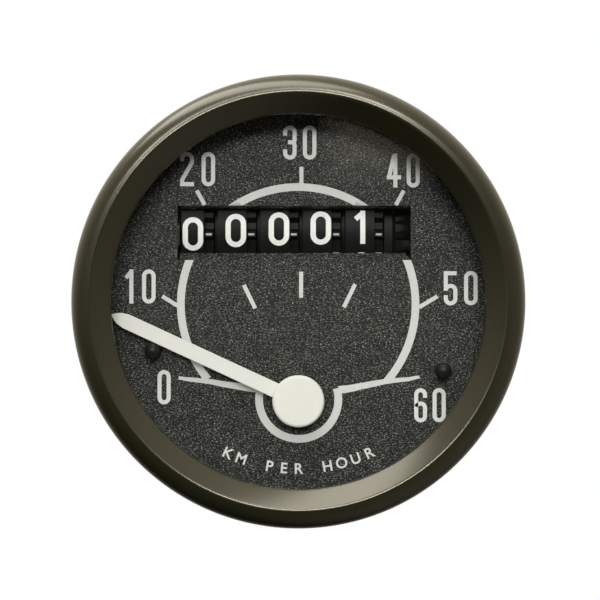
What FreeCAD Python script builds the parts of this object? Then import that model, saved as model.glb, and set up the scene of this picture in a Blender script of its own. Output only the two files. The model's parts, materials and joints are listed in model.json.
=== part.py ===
"""Round moped speedometer with an eddy-current pointer drive and a five-drum odometer.

Millimetres. +X right, +Z up, +Y from the face towards the cable. The origin is on the
body's axis, in the plane where the bezel seats on its panel.
"""
import FreeCAD, Part
import math
import os

V = FreeCAD.Vector

# ---- overall sizes -------------------------------------------------------------------
CAN_R = 24.0            # body that passes through the panel's hole
CAN_DEPTH = 24.0        # bezel seat to the rear face
CAN_WALL = 0.6
CAN_CORNER = 1.0
SLIDE_GAP = 0.2         # loose assembly clearance
RUN_GAP = 0.05          # running clearance of every shaft in its hole
FIT_GAP = 0.03          # screw or bush in a hole that it fills

# ---- bezel, glass and seal -----------------------------------------------------------
SHEET = 0.5             # pressed bezel
FLANGE_W = 1.3          # can flange beyond the body
FLANGE_T = 0.8
FLANGE_ROOT = 0.5       # step in the can beside its flange
OPENING_R = 21.43
CREST_R = 23.56
CREST_RISE = 2.0        # crest ahead of the bezel's sealing face
HEM_W = 0.75
GLASS_T = 1.6
GASKET_T = 0.3
SPACER_H = 2.7
SPACER_W = 1.6

# ---- dial and its window -------------------------------------------------------------
DIAL_T = 0.5
DIAL_BEHIND = 0.4       # dial face behind the can's flange
DIAL_GAP = 0.2
WINDOW_LEFT = -14.25
WINDOW_RIGHT = 13.24
WINDOW_TOP = 11.27
WINDOW_BOTTOM = 4.90
LIP_TOP = 0.26          # how far each bent lip narrows the window
LIP_BOTTOM = 0.82
LIP_T = 0.4
LIP_RELIEF_LEFT = 0.3
LIP_RELIEF_RIGHT = 0.62

# ---- pointer -------------------------------------------------------------------------
PIVOT_Z = -11.6
REST_ABOVE_LEVEL = 24.8     # degrees, pointer to the left
FULL_ABOVE_LEVEL = 17.8     # degrees, pointer to the right
LEFT_STOP_R = 17.98
RIGHT_STOP_R = 17.3
NEEDLE_LEN = 24.0
NEEDLE_HALF = 0.87
NEEDLE_TIP_LEN = 1.75
NEEDLE_TIP_HALF = 0.12
NEEDLE_T = 0.35
NEEDLE_LIFT = 1.45          # needle's back ahead of the dial
NEEDLE_ROOT_R = 2.3
CAP_R = 3.02
CAP_T = 0.8
HUB_R = 1.5
HUB_LEN = 1.0
STAFF_R = 0.4
STOP_R = 0.91
STOP_SHANK_R = 0.6
STOP_LEN = 2.0
STOP_DOME = 0.4
STOP_GAP = 0.05

# ---- bridge, pillars and hairspring --------------------------------------------------
BRIDGE_FROM_DIAL = 1.4
BRIDGE_T = 0.7
BRIDGE_HALF = 2.2
BOSS_R = 2.0
PILLAR_R = 1.6
PILLAR_TAP = 1.8
STAFF_BUSH_R = 1.1
COLLET_R = 1.25
COLLET_LEN = 0.65
SPRING_TURNS = 4
SPRING_INNER = 1.4
SPRING_OUTER = 4.15
SPRING_T = 0.12
SPRING_H = 0.4
SPRING_POST_R = 0.5

# ---- drag cup and magnet -------------------------------------------------------------
CUP_R = 8.2
CUP_WALL = 0.4
CUP_LEN = 2.6
CUP_GAP = 0.4               # cup's face behind the bridge
AIR_GAP = 0.5
MAGNET_T = 2.0
FIELD_WALL = 0.5
FIELD_FLOOR = 0.6
FIELD_STEP = 0.3

# ---- worm drives: module, wheel teeth, worm pitch radius -----------------------------
SPINDLE_WORM_R = 2.4
CROSS_MODULE = 0.45
CROSS_TEETH = 20
CROSS_SHAFT_Y = 11.2
CROSS_WORM_R = 1.2
RISER_TEETH = 25
RISER_WORM_R = 1.35
DRIVE_TEETH = 20
DRIVE_PITCH_R = 6.35
DRIVE_W = 3.36
SHAFT_R = 0.8
WHEEL_W = 1.8
LUG_T = 1.1
LUG_HALF = 1.6
LUG_CLEAR = 0.56            # riser's upper lug below the pinions' shaft

# ---- spindle, bush and cable nipple --------------------------------------------------
TAIL_R = 2.2
SOCKET_SIDE = 2.0
SOCKET_DEPTH = 6.0
BUSH_WALL = 1.0
BUSH_FRONT = 0.8            # bush ahead of the frame plate
NIPPLE_R = 5.0
NIPPLE_LEN = 8.0
NIPPLE_FLANGE_R = 6.5
NIPPLE_FLANGE_T = 1.0
NIPPLE_SPIGOT_R = 4.2
FERRULE_R = 2.6
FERRULE_DEPTH = 7.0
THREAD_CHAMFER = 0.5

# ---- movement frame and its fastenings -----------------------------------------------
FRAME_R = 21.0
FRAME_T = 1.4
FRAME_BOSS_H = 1.6
FRAME_BOSS_R = 3.0
FRAME_SCREWS = [(-14.0, -9.0), (14.0, -9.0), (0.0, 15.0)]
SCREW_R = 1.4
SCREW_HEAD_R = 2.6
SCREW_HEAD_H = 1.5
SCREW_SLOT = 0.7
STUD_X = 9.0
STUD_Z = 6.0
STUD_R = 2.0
STUD_LEN = 12.0

# ---- odometer ------------------------------------------------------------------------
DRUM_R = 8.0
DRUM_BEHIND_DIAL = 0.7      # drum front behind the dial's back
DRUM_Z = 8.5
DRUM_PITCH = 5.06
DRUM_COUNT = 5
UNITS_RIM_X = 5.60
RIM_W = 3.42
RIM_WALL = 1.1
RING_W = 1.08
RING_TEETH = 20
RING_BELOW_RIM = 0.6        # ring tooth tips below the drum's surface
RING_TOOTH_H = 1.1
RING_HALVES = (0.2858, 0.1383)      # half a tooth at root and tip, in tooth pitches
PINION_HALVES = (0.2305, 0.1152)
RING_TOOTH_AT = 183.9       # degrees about the drum's axis, from +Y towards +Z
SEGMENT_W = 0.4
WEB_T = 1.0
DRUM_HUB_R = 2.0
LAST_RIM_X = -13.9          # left end of the leftmost drum, which is narrower
PINION_TEETH = 8
ODO_SHAFT_R = 1.0
PINION_SHAFT_R = 0.6
COLLAR_R = 5.9
COLLAR_X = 10.35
COLLAR_W = 0.95
WASHER_R = 6.1
DRIVE_X = 11.64
PLATE_T = 0.7
LEFT_PLATE_X = -14.85
RIGHT_PLATE_X = 15.6
EAR_LOW = -2.3              # front ear's edges, from the drum axis
EAR_HIGH = 1.2
PLATE_LOW = -4.0
PLATE_HIGH = 7.0
PLATE_FRONT = 4.0           # main plate's front edge, behind the ear's
FOOT_W = 2.3
FOOT_LOW = -4.0
FOOT_HIGH = 0.4
CLIP_W = 0.4
CLIP_RIM = 1.1
SMALL_SCREW_R = 0.8
SMALL_HEAD_R = 1.05
SMALL_HEAD_H = 0.6

# ---- planes and centres worked out from the sizes above ------------------------------
FLANGE_R = CAN_R + FLANGE_W
FLANGE_Y = -SHEET - FLANGE_T
BEZEL_R = FLANGE_R + SLIDE_GAP + SHEET
GLASS_BACK = FLANGE_Y - SPACER_H
GLASS_FRONT = GLASS_BACK - GLASS_T
SEAL_Y = GLASS_FRONT - GASKET_T
CREST_Y = SEAL_Y - CREST_RISE
DIAL_Y = FLANGE_Y + DIAL_BEHIND
DIAL_BACK = DIAL_Y + DIAL_T
DIAL_R = CAN_R - CAN_WALL - DIAL_GAP
FRAME_BACK = CAN_DEPTH - CAN_WALL - FRAME_BOSS_H
FRAME_FRONT = FRAME_BACK - FRAME_T
BRIDGE_Y = DIAL_BACK + BRIDGE_FROM_DIAL
BRIDGE_BACK = BRIDGE_Y + BRIDGE_T
NEEDLE_BACK = DIAL_Y - NEEDLE_LIFT
NEEDLE_Y = NEEDLE_BACK - NEEDLE_T
CUP_Y = BRIDGE_BACK + CUP_GAP
MAGNET_R = CUP_R - CUP_WALL - AIR_GAP
MAGNET_Y = CUP_Y + CUP_WALL + 0.8 * AIR_GAP
FIELD_Y = MAGNET_Y + MAGNET_T + FIELD_STEP
FIELD_BACK = FIELD_Y + FIELD_FLOOR
CROSS_R = CROSS_MODULE * CROSS_TEETH / 2
CROSS_SHAFT_Z = PIVOT_Z + SPINDLE_WORM_R + CROSS_R
DRUM_Y = DIAL_BACK + DRUM_BEHIND_DIAL + DRUM_R
RING_TIP = DRUM_R - RING_BELOW_RIM
RING_ROOT = RING_TIP - RING_TOOTH_H
RING_PITCH_R = RING_TIP - 0.45 * RING_TOOTH_H
PINION_PITCH_R = RING_PITCH_R * PINION_TEETH / RING_TEETH
TOOTH_PITCH = 2 * math.pi * RING_PITCH_R / RING_TEETH
RING_ROOT_HALF, RING_TIP_HALF = (share * TOOTH_PITCH for share in RING_HALVES)
PINION_ROOT_HALF, PINION_TIP_HALF = (share * TOOTH_PITCH for share in PINION_HALVES)
PINION_AT = RING_TOOTH_AT - 8.5 * 360 / RING_TEETH
PINION_GAP = RING_PITCH_R + PINION_PITCH_R
PINION_Y = DRUM_Y + PINION_GAP * math.cos(math.radians(PINION_AT))
PINION_Z = DRUM_Z + PINION_GAP * math.sin(math.radians(PINION_AT))
RISER_X = DRIVE_X + DRIVE_W / 2
RISER_Y = DRUM_Y + DRIVE_PITCH_R + RISER_WORM_R
RISER_R = RISER_Y - CROSS_SHAFT_Y - CROSS_WORM_R
NIPPLE_END = CAN_DEPTH + NIPPLE_FLANGE_T + NIPPLE_LEN
BUSH_R = TAIL_R + RUN_GAP + BUSH_WALL
BUSH_END = NIPPLE_END - FERRULE_DEPTH

# A third of a turn about (1, 1, 1) carries local x, y, z to Y, Z, X; two thirds to Z, X, Y.
TURN_FOR = {"X": 120, "Y": 240, "Z": 0}


def place(shape, origin, axis):
    """Stand a shape built along local +Z at an origin, along a row axis."""
    turn = FreeCAD.Rotation(V(1, 1, 1), TURN_FOR[axis])
    shape.Placement = FreeCAD.Placement(origin, turn).multiply(shape.Placement)
    return shape


def bar(radius, start, end, x=0.0, z=PIVOT_Z):
    """A round bar along +Y between two planes."""
    return Part.makeCylinder(radius, end - start, V(x, start, z), V(0, 1, 0))


def tube(outer, inner, start, end, x=0.0, z=PIVOT_Z):
    """A round tube along +Y between two planes."""
    return bar(outer, start, end, x, z).cut(bar(inner, start - 1, end + 1, x, z))


def box(x, y, z):
    """A block from its (low, high) pair along each axis."""
    size = (x[1] - x[0], y[1] - y[0], z[1] - z[0])
    return Part.makeBox(*size, V(x[0], y[0], z[0]))


def rod(radius, x, y, z):
    """A round bar along +X between a (low, high) pair."""
    return Part.makeCylinder(radius, x[1] - x[0], V(x[0], y, z), V(1, 0, 0))


def edges(steps):
    """Edges through (x, y) points: a step is a point, or an arc's middle and end points."""
    out = []
    last = steps[0]
    for step in steps[1:]:
        if len(step) == 2:
            out.append(Part.makeLine(V(*last, 0), V(*step, 0)))
            last = step
        else:
            out.append(Part.Arc(V(*last, 0), V(*step[:2], 0), V(*step[2:], 0)).toShape())
            last = step[2:]
    return out


def turned(steps):
    """A ring turned about the body's axis from a closed (radius, y) outline."""
    face = Part.Face(Part.Wire(edges(steps + [steps[0]])))
    return face.revolve(V(0, 0, 0), V(0, 1, 0), 360)


def capsule(start, end, half, y, depth):
    """A flat bar with round ends, between two (x, z) points."""
    run = V(end[0] - start[0], 0, end[1] - start[1])
    block = Part.makeBox(run.Length, depth, 2 * half, V(0, 0, -half))
    turn = FreeCAD.Rotation(V(1, 0, 0), run)
    block.Placement = FreeCAD.Placement(V(start[0], y, start[1]), turn)
    ends = [bar(half, y, y + depth, x, z) for x, z in (start, end)]
    return block.fuse(ends).removeSplitter()


def tooth_wire(teeth, root, tip, half_root, half_tip, first, height):
    """A toothed outline about local Z; `first` is a tooth's angle in degrees."""
    points = []
    for i in range(teeth):
        at = math.radians(first + 360 * i / teeth)
        for radius, half in ((root, -half_root), (tip, -half_tip), (tip, half_tip), (root, half_root)):
            turn = at + math.asin(half / radius)
            points.append(V(radius * math.cos(turn), radius * math.sin(turn), height))
    return Part.makePolygon(points + points[:1])


def gear(teeth, root, tip, half_root, half_tip, first, width):
    """A spur gear about local Z, from 0 to its width."""
    face = Part.Face(tooth_wire(teeth, root, tip, half_root, half_tip, first, 0))
    return face.extrude(V(0, 0, width))


def helical_gear(teeth, root, tip, half_root, half_tip, first, width, twist):
    """A gear about local Z centred on 0, whose teeth turn by `twist` degrees over its width."""
    ends = [
        tooth_wire(teeth, root, tip, half_root, half_tip, first + side * twist / 2, side * width / 2)
        for side in (-1, 1)
    ]
    return Part.makeLoft(ends, True, True)


def worm(pitch, root, tip, half_root, half_tip, turns, crossing, left_handed):
    """A worm about local Z, centred on 0, whose thread lies at `crossing` degrees there."""
    length = pitch * turns
    core = root - 0.05
    path = Part.makeHelix(pitch, length, core, 0, left_handed)
    flank = (half_root - half_tip) / (tip - root)
    sunk = half_root + flank * (root - core)
    outline = [V(core, 0, -sunk), V(tip, 0, -half_tip), V(tip, 0, half_tip), V(core, 0, sunk)]
    profile = Part.makePolygon(outline + outline[:1])
    thread = Part.Wire(path.Edges).makePipeShell([profile], True, True)
    lead = -1 if left_handed else 1
    thread.rotate(V(0, 0, 0), V(0, 0, 1), crossing - lead * 180 * turns)
    thread.translate(V(0, 0, -length / 2))
    blank = Part.makeCylinder(root, length + 2 * half_root, V(0, 0, -length / 2 - half_root))
    return blank.fuse(thread)


def worm_thread(module, depth_above, depth_below):
    """Half widths of a thread, or of a wheel's tooth, at its root and at its tip."""
    half = 0.14 * math.pi * 2 * module / 2
    flank = math.tan(math.radians(18))
    return half + flank * depth_below, half - flank * depth_above


# ---- case ----------------------------------------------------------------------------
def bezel():
    """Pressed bezel: a rolled seat, a skirt, a rounded crest and a hemmed inner edge."""
    inside = BEZEL_R - SHEET
    lip = CAN_R + FLANGE_ROOT + RUN_GAP
    steps = [
        (lip, 0),
        (BEZEL_R - 0.4, 0),
        (BEZEL_R - 0.12, -0.12, BEZEL_R, -0.4),
        (BEZEL_R, CREST_Y + 2.2),
        (BEZEL_R - 0.65, CREST_Y + 0.75, CREST_R + 0.39, CREST_Y + 0.03),
        (CREST_R + 0.06, CREST_Y, CREST_R - 0.21, CREST_Y + 0.15),
        (OPENING_R + 0.17, SEAL_Y - 0.45),
        (OPENING_R + 0.04, SEAL_Y - 0.25, OPENING_R, SEAL_Y),
        (OPENING_R + HEM_W, SEAL_Y),
        (CREST_R - 0.2, CREST_Y + 0.75),
        (CREST_R + 0.2, CREST_Y + 0.55, CREST_R + 0.6, CREST_Y + 0.6),
        (inside - 0.45, CREST_Y + 1.15, inside, CREST_Y + 2.3),
        (inside, -SHEET),
        (lip, -SHEET),
    ]
    return turned(steps)


def glass():
    """Flat round glass."""
    return bar(FLANGE_R, GLASS_FRONT, GLASS_BACK, z=0)


def glass_gasket():
    """Flat seal between the bezel's hem and the glass."""
    return tube(FLANGE_R, OPENING_R + 0.3, SEAL_Y, GLASS_FRONT, z=0)


def spacer_ring():
    """Ring that holds the glass off the can's flange."""
    return tube(FLANGE_R, FLANGE_R - SPACER_W, GLASS_BACK, FLANGE_Y, z=0)


def housing_can():
    """Deep-drawn can with its flange, and holes for the nipple and the frame's screws."""
    inner = CAN_R - CAN_WALL
    back = CAN_DEPTH - CAN_WALL
    bend = CAN_CORNER * (1 - math.sqrt(0.5))
    shell = turned([
        (0, CAN_DEPTH),
        (CAN_R - CAN_CORNER, CAN_DEPTH),
        (CAN_R - bend, CAN_DEPTH - bend, CAN_R, CAN_DEPTH - CAN_CORNER),
        (CAN_R, 0),
        (CAN_R + FLANGE_ROOT, 0),
        (CAN_R + FLANGE_ROOT, -SHEET),
        (FLANGE_R, -SHEET),
        (FLANGE_R, FLANGE_Y),
        (inner, FLANGE_Y),
        (inner, back),
        (0, back),
    ])
    holes = [bar(NIPPLE_SPIGOT_R + FIT_GAP, back - 1, CAN_DEPTH + 1)]
    holes += [bar(SCREW_R + FIT_GAP, back - 1, CAN_DEPTH + 1, x, z) for x, z in FRAME_SCREWS]
    return shell.cut(holes)


def drive_nipple():
    """Threaded nipple for the cable's nut, with its flange, spigot and stepped bore."""
    body = bar(NIPPLE_SPIGOT_R, FRAME_BACK, CAN_DEPTH)
    body = body.fuse([
        bar(NIPPLE_FLANGE_R, CAN_DEPTH, CAN_DEPTH + NIPPLE_FLANGE_T),
        bar(NIPPLE_R, CAN_DEPTH + NIPPLE_FLANGE_T, NIPPLE_END),
    ])
    return body.cut([
        bar(BUSH_R + FIT_GAP, FRAME_BACK - 1, BUSH_END),
        bar(FERRULE_R, BUSH_END, NIPPLE_END + 1),
    ]).removeSplitter()


def spindle_bush():
    """Long bush that carries the spindle's tail."""
    return tube(BUSH_R, TAIL_R + RUN_GAP, FRAME_FRONT - BUSH_FRONT, BUSH_END)


def mounting_studs():
    """Two studs on the rear face, with chamfered ends."""
    out = []
    for side in (-1, 1):
        stud = bar(STUD_R, CAN_DEPTH, CAN_DEPTH + STUD_LEN, side * STUD_X, STUD_Z)
        end = [e for e in stud.Edges if e.BoundBox.YMin > CAN_DEPTH + STUD_LEN - 0.1]
        out.append(stud.makeChamfer(THREAD_CHAMFER, end))
    return Part.makeCompound(out)


def frame_screws():
    """Slotted cheese-head screws through the can into the frame's bosses."""
    out = []
    for x, z in FRAME_SCREWS:
        head_end = CAN_DEPTH + SCREW_HEAD_H
        screw = bar(SCREW_R, FRAME_FRONT + 0.2, CAN_DEPTH + 0.1, x, z)
        screw = screw.fuse(bar(SCREW_HEAD_R, CAN_DEPTH, head_end, x, z))
        half = SCREW_SLOT / 2
        slot = box((x - 3, x + 3), (head_end - SCREW_SLOT, head_end + 1), (z - half, z + half))
        out.append(screw.cut(slot))
    return Part.makeCompound(out)


# ---- dial ----------------------------------------------------------------------------
def stop_places():
    """(x, z) of the left and right pointer stops, clear of the pointer at its limits."""
    out = []
    for side, radius, above in ((-1, LEFT_STOP_R, REST_ABOVE_LEVEL), (1, RIGHT_STOP_R, FULL_ABOVE_LEVEL)):
        clear = NEEDLE_HALF + STOP_R + STOP_GAP
        at = math.radians(above) - math.asin(clear / radius)
        out.append((side * radius * math.cos(at), PIVOT_Z + radius * math.sin(at)))
    return out


def lip(low, high, right, front_z, back_z):
    """A window lip bent back from the dial's face, from front_z there to back_z behind."""
    depth = LIP_BOTTOM
    outline = [(DIAL_Y, front_z), (DIAL_Y + depth, back_z)]
    away = LIP_T if back_z > front_z else -LIP_T
    outline += [(DIAL_Y + depth, back_z - away), (DIAL_Y + LIP_T * 0.6, front_z - away)]
    wire = Part.makePolygon([V(low, y, z) for y, z in outline + outline[:1]])
    solid = Part.Face(wire).extrude(V(high - low, 0, 0))
    if right:
        corner = Part.makePolygon([
            V(high, DIAL_Y - 1, front_z),
            V(high + 1, DIAL_Y - 1, front_z),
            V(high + 1, DIAL_Y - 1, back_z + 0.2),
            V(high - right, DIAL_Y - 1, back_z + 0.2),
            V(high, DIAL_Y - 1, front_z),
        ])
        solid = solid.cut(Part.Face(corner).extrude(V(0, 4, 0)))
    return solid


def dial():
    """Dial plate with the odometer window, its two bent lips and its holes."""
    plate = bar(DIAL_R, DIAL_Y, DIAL_BACK, z=0)
    opening = box(
        (WINDOW_LEFT, WINDOW_RIGHT),
        (DIAL_Y - 1, DIAL_BACK + 1),
        (WINDOW_BOTTOM, WINDOW_TOP),
    )
    holes = [bar(HUB_R + SLIDE_GAP, DIAL_Y - 1, DIAL_BACK + 1)]
    holes += [bar(STOP_SHANK_R + FIT_GAP, DIAL_Y - 1, DIAL_BACK + 1, x, z) for x, z in stop_places()]
    low = WINDOW_LEFT + LIP_RELIEF_LEFT
    high = WINDOW_RIGHT - 0.1
    lips = [
        lip(low, high, LIP_RELIEF_RIGHT, WINDOW_BOTTOM, WINDOW_BOTTOM + LIP_BOTTOM),
        lip(low, high, 0, WINDOW_TOP, WINDOW_TOP - LIP_TOP),
    ]
    return plate.cut([opening] + holes).fuse(lips).removeSplitter()


def stop_pins():
    """Two domed pins that stop the pointer and hold the dial to the bridge and pillars."""
    out = []
    for x, z in stop_places():
        top = DIAL_Y - STOP_LEN
        ball = (STOP_R ** 2 + STOP_DOME ** 2) / (2 * STOP_DOME)
        dome = Part.makeSphere(ball, V(x, top - STOP_DOME + ball, z))
        dome = dome.common(bar(STOP_R, top - STOP_DOME - 0.1, top, x, z))
        pin = bar(STOP_R, top, DIAL_Y, x, z)
        pin = pin.fuse([dome, bar(STOP_SHANK_R, DIAL_Y - 0.1, BRIDGE_BACK + PILLAR_TAP - FIT_GAP, x, z)])
        out.append(pin.removeSplitter())
    return Part.makeCompound(out)


# ---- movement frame ------------------------------------------------------------------
def front_bridge():
    """Flat bridge behind the dial, with bosses that carry it and the hairspring's post."""
    arms = [capsule((0, PIVOT_Z), end, BRIDGE_HALF, BRIDGE_Y, BRIDGE_T) for end in stop_places()]
    bosses = [bar(BOSS_R, DIAL_BACK, BRIDGE_BACK, x, z) for x, z in stop_places()]
    post_x, post_z = spring_post()
    post = bar(SPRING_POST_R, BRIDGE_Y - 0.95, BRIDGE_BACK, post_x, post_z)
    body = arms[0].fuse([arms[1]] + bosses + [post])
    holes = [bar(STOP_SHANK_R + FIT_GAP, DIAL_BACK - 1, BRIDGE_BACK + 1, x, z) for x, z in stop_places()]
    holes.append(bar(STAFF_BUSH_R, BRIDGE_Y - 1, BRIDGE_BACK + 1))
    return body.cut(holes).removeSplitter()


def staff_bush():
    """Front bearing of the pointer staff, in the bridge."""
    return tube(STAFF_BUSH_R, STAFF_R + RUN_GAP, BRIDGE_Y - 0.05, BRIDGE_BACK + 0.1)


def pillars():
    """Two pillars from the frame plate to the bridge, tapped for the stop pins."""
    out = []
    for x, z in stop_places():
        post = bar(PILLAR_R, BRIDGE_BACK, FRAME_FRONT, x, z)
        out.append(post.cut(bar(STOP_SHANK_R + FIT_GAP, BRIDGE_BACK - 1, BRIDGE_BACK + PILLAR_TAP, x, z)))
    return Part.makeCompound(out)


def spring_direction():
    """Unit (x, z) from the pivot towards the hairspring's post, along the left arm."""
    x, z = stop_places()[0]
    run = math.hypot(x, z - PIVOT_Z)
    return x / run, (z - PIVOT_Z) / run


def spring_post():
    """(x, z) of the hairspring's post."""
    x, z = spring_direction()
    far = SPRING_OUTER + SPRING_T / 2 + SPRING_POST_R
    return x * far, PIVOT_Z + z * far


def hairspring():
    """Flat spiral from beside the collet to its post."""
    x, z = spring_direction()
    last = math.atan2(z, x)
    sweep = 2 * math.pi * SPRING_TURNS
    steps = 18 * SPRING_TURNS
    sides = []
    for side in (-1, 1):
        points = []
        for i in range(steps + 1):
            share = i / steps
            radius = SPRING_INNER + (SPRING_OUTER - SPRING_INNER) * share + side * SPRING_T / 2
            at = last - sweep * (1 - share)
            points.append(V(radius * math.cos(at), 0, radius * math.sin(at)))
        curve = Part.BSplineCurve()
        curve.interpolate(points)
        sides.append((curve.toShape(), points))
    inner, outer = sides
    ends = [Part.makeLine(outer[1][i], inner[1][i]) for i in (-1, 0)]
    wire = Part.Wire(Part.__sortEdges__([inner[0], ends[0], outer[0], ends[1]]))
    strip = Part.Face(wire).extrude(V(0, SPRING_H, 0))
    strip.translate(V(0, BRIDGE_Y - 0.3 - SPRING_H, PIVOT_Z))
    return strip


def movement_frame():
    """Cast plate on three bosses, with the lugs that carry the cross and riser shafts."""
    body = bar(FRAME_R, FRAME_FRONT, FRAME_BACK, z=0)
    back = CAN_DEPTH - CAN_WALL
    parts = [bar(FRAME_BOSS_R, FRAME_BACK, back, x, z) for x, z in FRAME_SCREWS]
    y = (CROSS_SHAFT_Y - LUG_HALF, FRAME_FRONT)
    z = (CROSS_SHAFT_Z - LUG_HALF + 0.1, CROSS_SHAFT_Z + LUG_HALF)
    parts += [box((x, x + LUG_T), y, z) for x in cross_lugs()]
    x = (RISER_X - LUG_HALF, RISER_X + LUG_HALF)
    y = (RISER_Y - SHAFT_R - 0.6, FRAME_FRONT)
    parts += [box(x, y, (z0, z0 + LUG_T)) for z0 in riser_lugs()]
    body = body.fuse(parts)
    low, high = cross_lugs()[0] - 1, cross_lugs()[-1] + LUG_T + 1
    holes = [rod(SHAFT_R + RUN_GAP, (low, high), CROSS_SHAFT_Y, CROSS_SHAFT_Z)]
    low, high = riser_lugs()[0] - 1, riser_lugs()[1] + LUG_T + 1
    holes.append(Part.makeCylinder(SHAFT_R + RUN_GAP, high - low, V(RISER_X, RISER_Y, low)))
    holes.append(bar(BUSH_R + FIT_GAP, FRAME_FRONT - 1, FRAME_BACK + 1))
    holes += [bar(SCREW_R + FIT_GAP, FRAME_FRONT - 1, back + 1, x, z) for x, z in FRAME_SCREWS]
    holes += [
        bar(SMALL_SCREW_R + FIT_GAP, FRAME_FRONT - 1, FRAME_BACK + 1, x, z)
        for x, z in plate_screw_places()
    ]
    return body.cut(holes).removeSplitter()


def cross_lugs():
    """Left faces of the three lugs of the cross shaft."""
    far = RISER_X + RISER_R + 0.65
    return [-WHEEL_W - 2.6, RISER_X - RISER_R - LUG_T - 1.4, far]


def riser_lugs():
    """Lower faces of the two lugs of the riser shaft."""
    below_pinions = PINION_Z - PINION_SHAFT_R - LUG_CLEAR - LUG_T
    return [CROSS_SHAFT_Z - WHEEL_W / 2 - 2.6, below_pinions]


# ---- spindle and pointer -------------------------------------------------------------
def drive_spindle():
    """Spindle with its square socket, journal, worm and a bored nose for the staff."""
    pitch = math.pi * CROSS_MODULE
    root_half, tip_half = worm_thread(CROSS_MODULE, 0.3, 0.4)
    body = worm(pitch, SPINDLE_WORM_R - 0.4, SPINDLE_WORM_R + 0.3, root_half, tip_half, 3.5, 0, False)
    # local +X is the row's +Z, where the wheel lies
    body = place(body, V(0, CROSS_SHAFT_Y, PIVOT_Z), "Y")
    worm_end = CROSS_SHAFT_Y + pitch * 1.75 + root_half
    journal = FRAME_FRONT - BUSH_FRONT - 1.5
    body = body.fuse([
        bar(1.2, MAGNET_Y, FIELD_BACK + 0.1),
        bar(1.6, FIELD_BACK, worm_end - 1),
        bar(1.6, worm_end - 1, journal + 0.1),
        bar(TAIL_R, journal, BUSH_END - 0.1),
    ])
    half = SOCKET_SIDE / 2
    return body.cut([
        bar(STAFF_R + RUN_GAP, MAGNET_Y - 1, MAGNET_Y + 1.2),
        box((-half, half), (BUSH_END - 0.1 - SOCKET_DEPTH, BUSH_END + 1), (PIVOT_Z - half, PIVOT_Z + half)),
    ]).removeSplitter()


def magnet():
    """Ring magnet on the spindle's nose."""
    return tube(MAGNET_R, 1.2, MAGNET_Y, MAGNET_Y + MAGNET_T)


def field_cup():
    """Steel cup around the drag cup, which closes the magnet's field."""
    inner = CUP_R + AIR_GAP
    cup = bar(inner + FIELD_WALL, MAGNET_Y, FIELD_BACK).cut(bar(inner, MAGNET_Y - 1, FIELD_Y))
    cup = cup.fuse(bar(3.0, MAGNET_Y + MAGNET_T, FIELD_Y + 0.1))
    return cup.cut(bar(1.2, MAGNET_Y - 1, FIELD_BACK + 1)).removeSplitter()


def drag_cup():
    """Thin aluminium cup on the pointer staff."""
    wall_end = CUP_Y + CUP_LEN
    cup = bar(CUP_R, CUP_Y, wall_end).cut(bar(CUP_R - CUP_WALL, CUP_Y + CUP_WALL, wall_end + 1))
    cup = cup.fuse(bar(1.0, CUP_Y - 0.2, CUP_Y + 0.1))
    return cup.cut(bar(STAFF_R, CUP_Y - 1, wall_end)).removeSplitter()


def pointer_staff():
    """Thin staff from the cap to the spindle's nose."""
    return bar(STAFF_R, NEEDLE_Y, MAGNET_Y + 1.0)


def collet():
    """Brass collet that the hairspring's inner end turns with."""
    start = BRIDGE_Y - 0.15 - COLLET_LEN
    return tube(COLLET_R, STAFF_R, start, start + COLLET_LEN)


def needle_hub():
    """Hub between the needle and the staff, through the dial's hole."""
    return tube(HUB_R, STAFF_R, NEEDLE_BACK, NEEDLE_BACK + HUB_LEN)


def needle():
    """Flat needle of even width with a short point."""
    body_end = NEEDLE_LEN - NEEDLE_TIP_LEN
    outline = [
        (0, -NEEDLE_HALF),
        (body_end, -NEEDLE_HALF),
        (NEEDLE_LEN, -NEEDLE_TIP_HALF),
        (NEEDLE_LEN, NEEDLE_TIP_HALF),
        (body_end, NEEDLE_HALF),
        (0, NEEDLE_HALF),
    ]
    blade = Part.Face(Part.makePolygon([V(-a, 0, b) for a, b in outline + outline[:1]]))
    blade = blade.extrude(V(0, NEEDLE_T, 0))
    blade.rotate(V(0, 0, 0), V(0, 1, 0), REST_ABOVE_LEVEL)
    blade.translate(V(0, NEEDLE_Y, PIVOT_Z))
    root = bar(NEEDLE_ROOT_R, NEEDLE_Y, NEEDLE_BACK)
    return blade.fuse(root).cut(bar(STAFF_R, NEEDLE_Y - 1, NEEDLE_BACK + 1)).removeSplitter()


def needle_cap():
    """Round cap over the needle's root, with a rounded rim."""
    cap = bar(CAP_R, NEEDLE_Y - CAP_T, NEEDLE_Y)
    front = [e for e in cap.Edges if e.BoundBox.YMax < NEEDLE_Y - CAP_T + 0.01]
    return cap.makeFillet(0.45 * CAP_T, front)


# ---- gear train ----------------------------------------------------------------------
def cross_shaft():
    """Cross shaft with the worm that turns the riser."""
    module = 2 * RISER_R / RISER_TEETH
    root_half, tip_half = worm_thread(module, 0.2, 0.3)
    turns = 4.6
    # local +Y is the row's +Z and local +X its +Y, where the riser's wheel lies
    root, tip = CROSS_WORM_R - 0.3, CROSS_WORM_R + 0.2
    thread = worm(math.pi * module, root, tip, root_half, tip_half, turns, 0, True)
    thread = place(thread, V(RISER_X, CROSS_SHAFT_Y, CROSS_SHAFT_Z), "X")
    ends = (cross_lugs()[0] - 0.3, cross_lugs()[-1] + LUG_T + 0.3)
    return thread.fuse(rod(SHAFT_R, ends, CROSS_SHAFT_Y, CROSS_SHAFT_Z)).removeSplitter()


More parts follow.
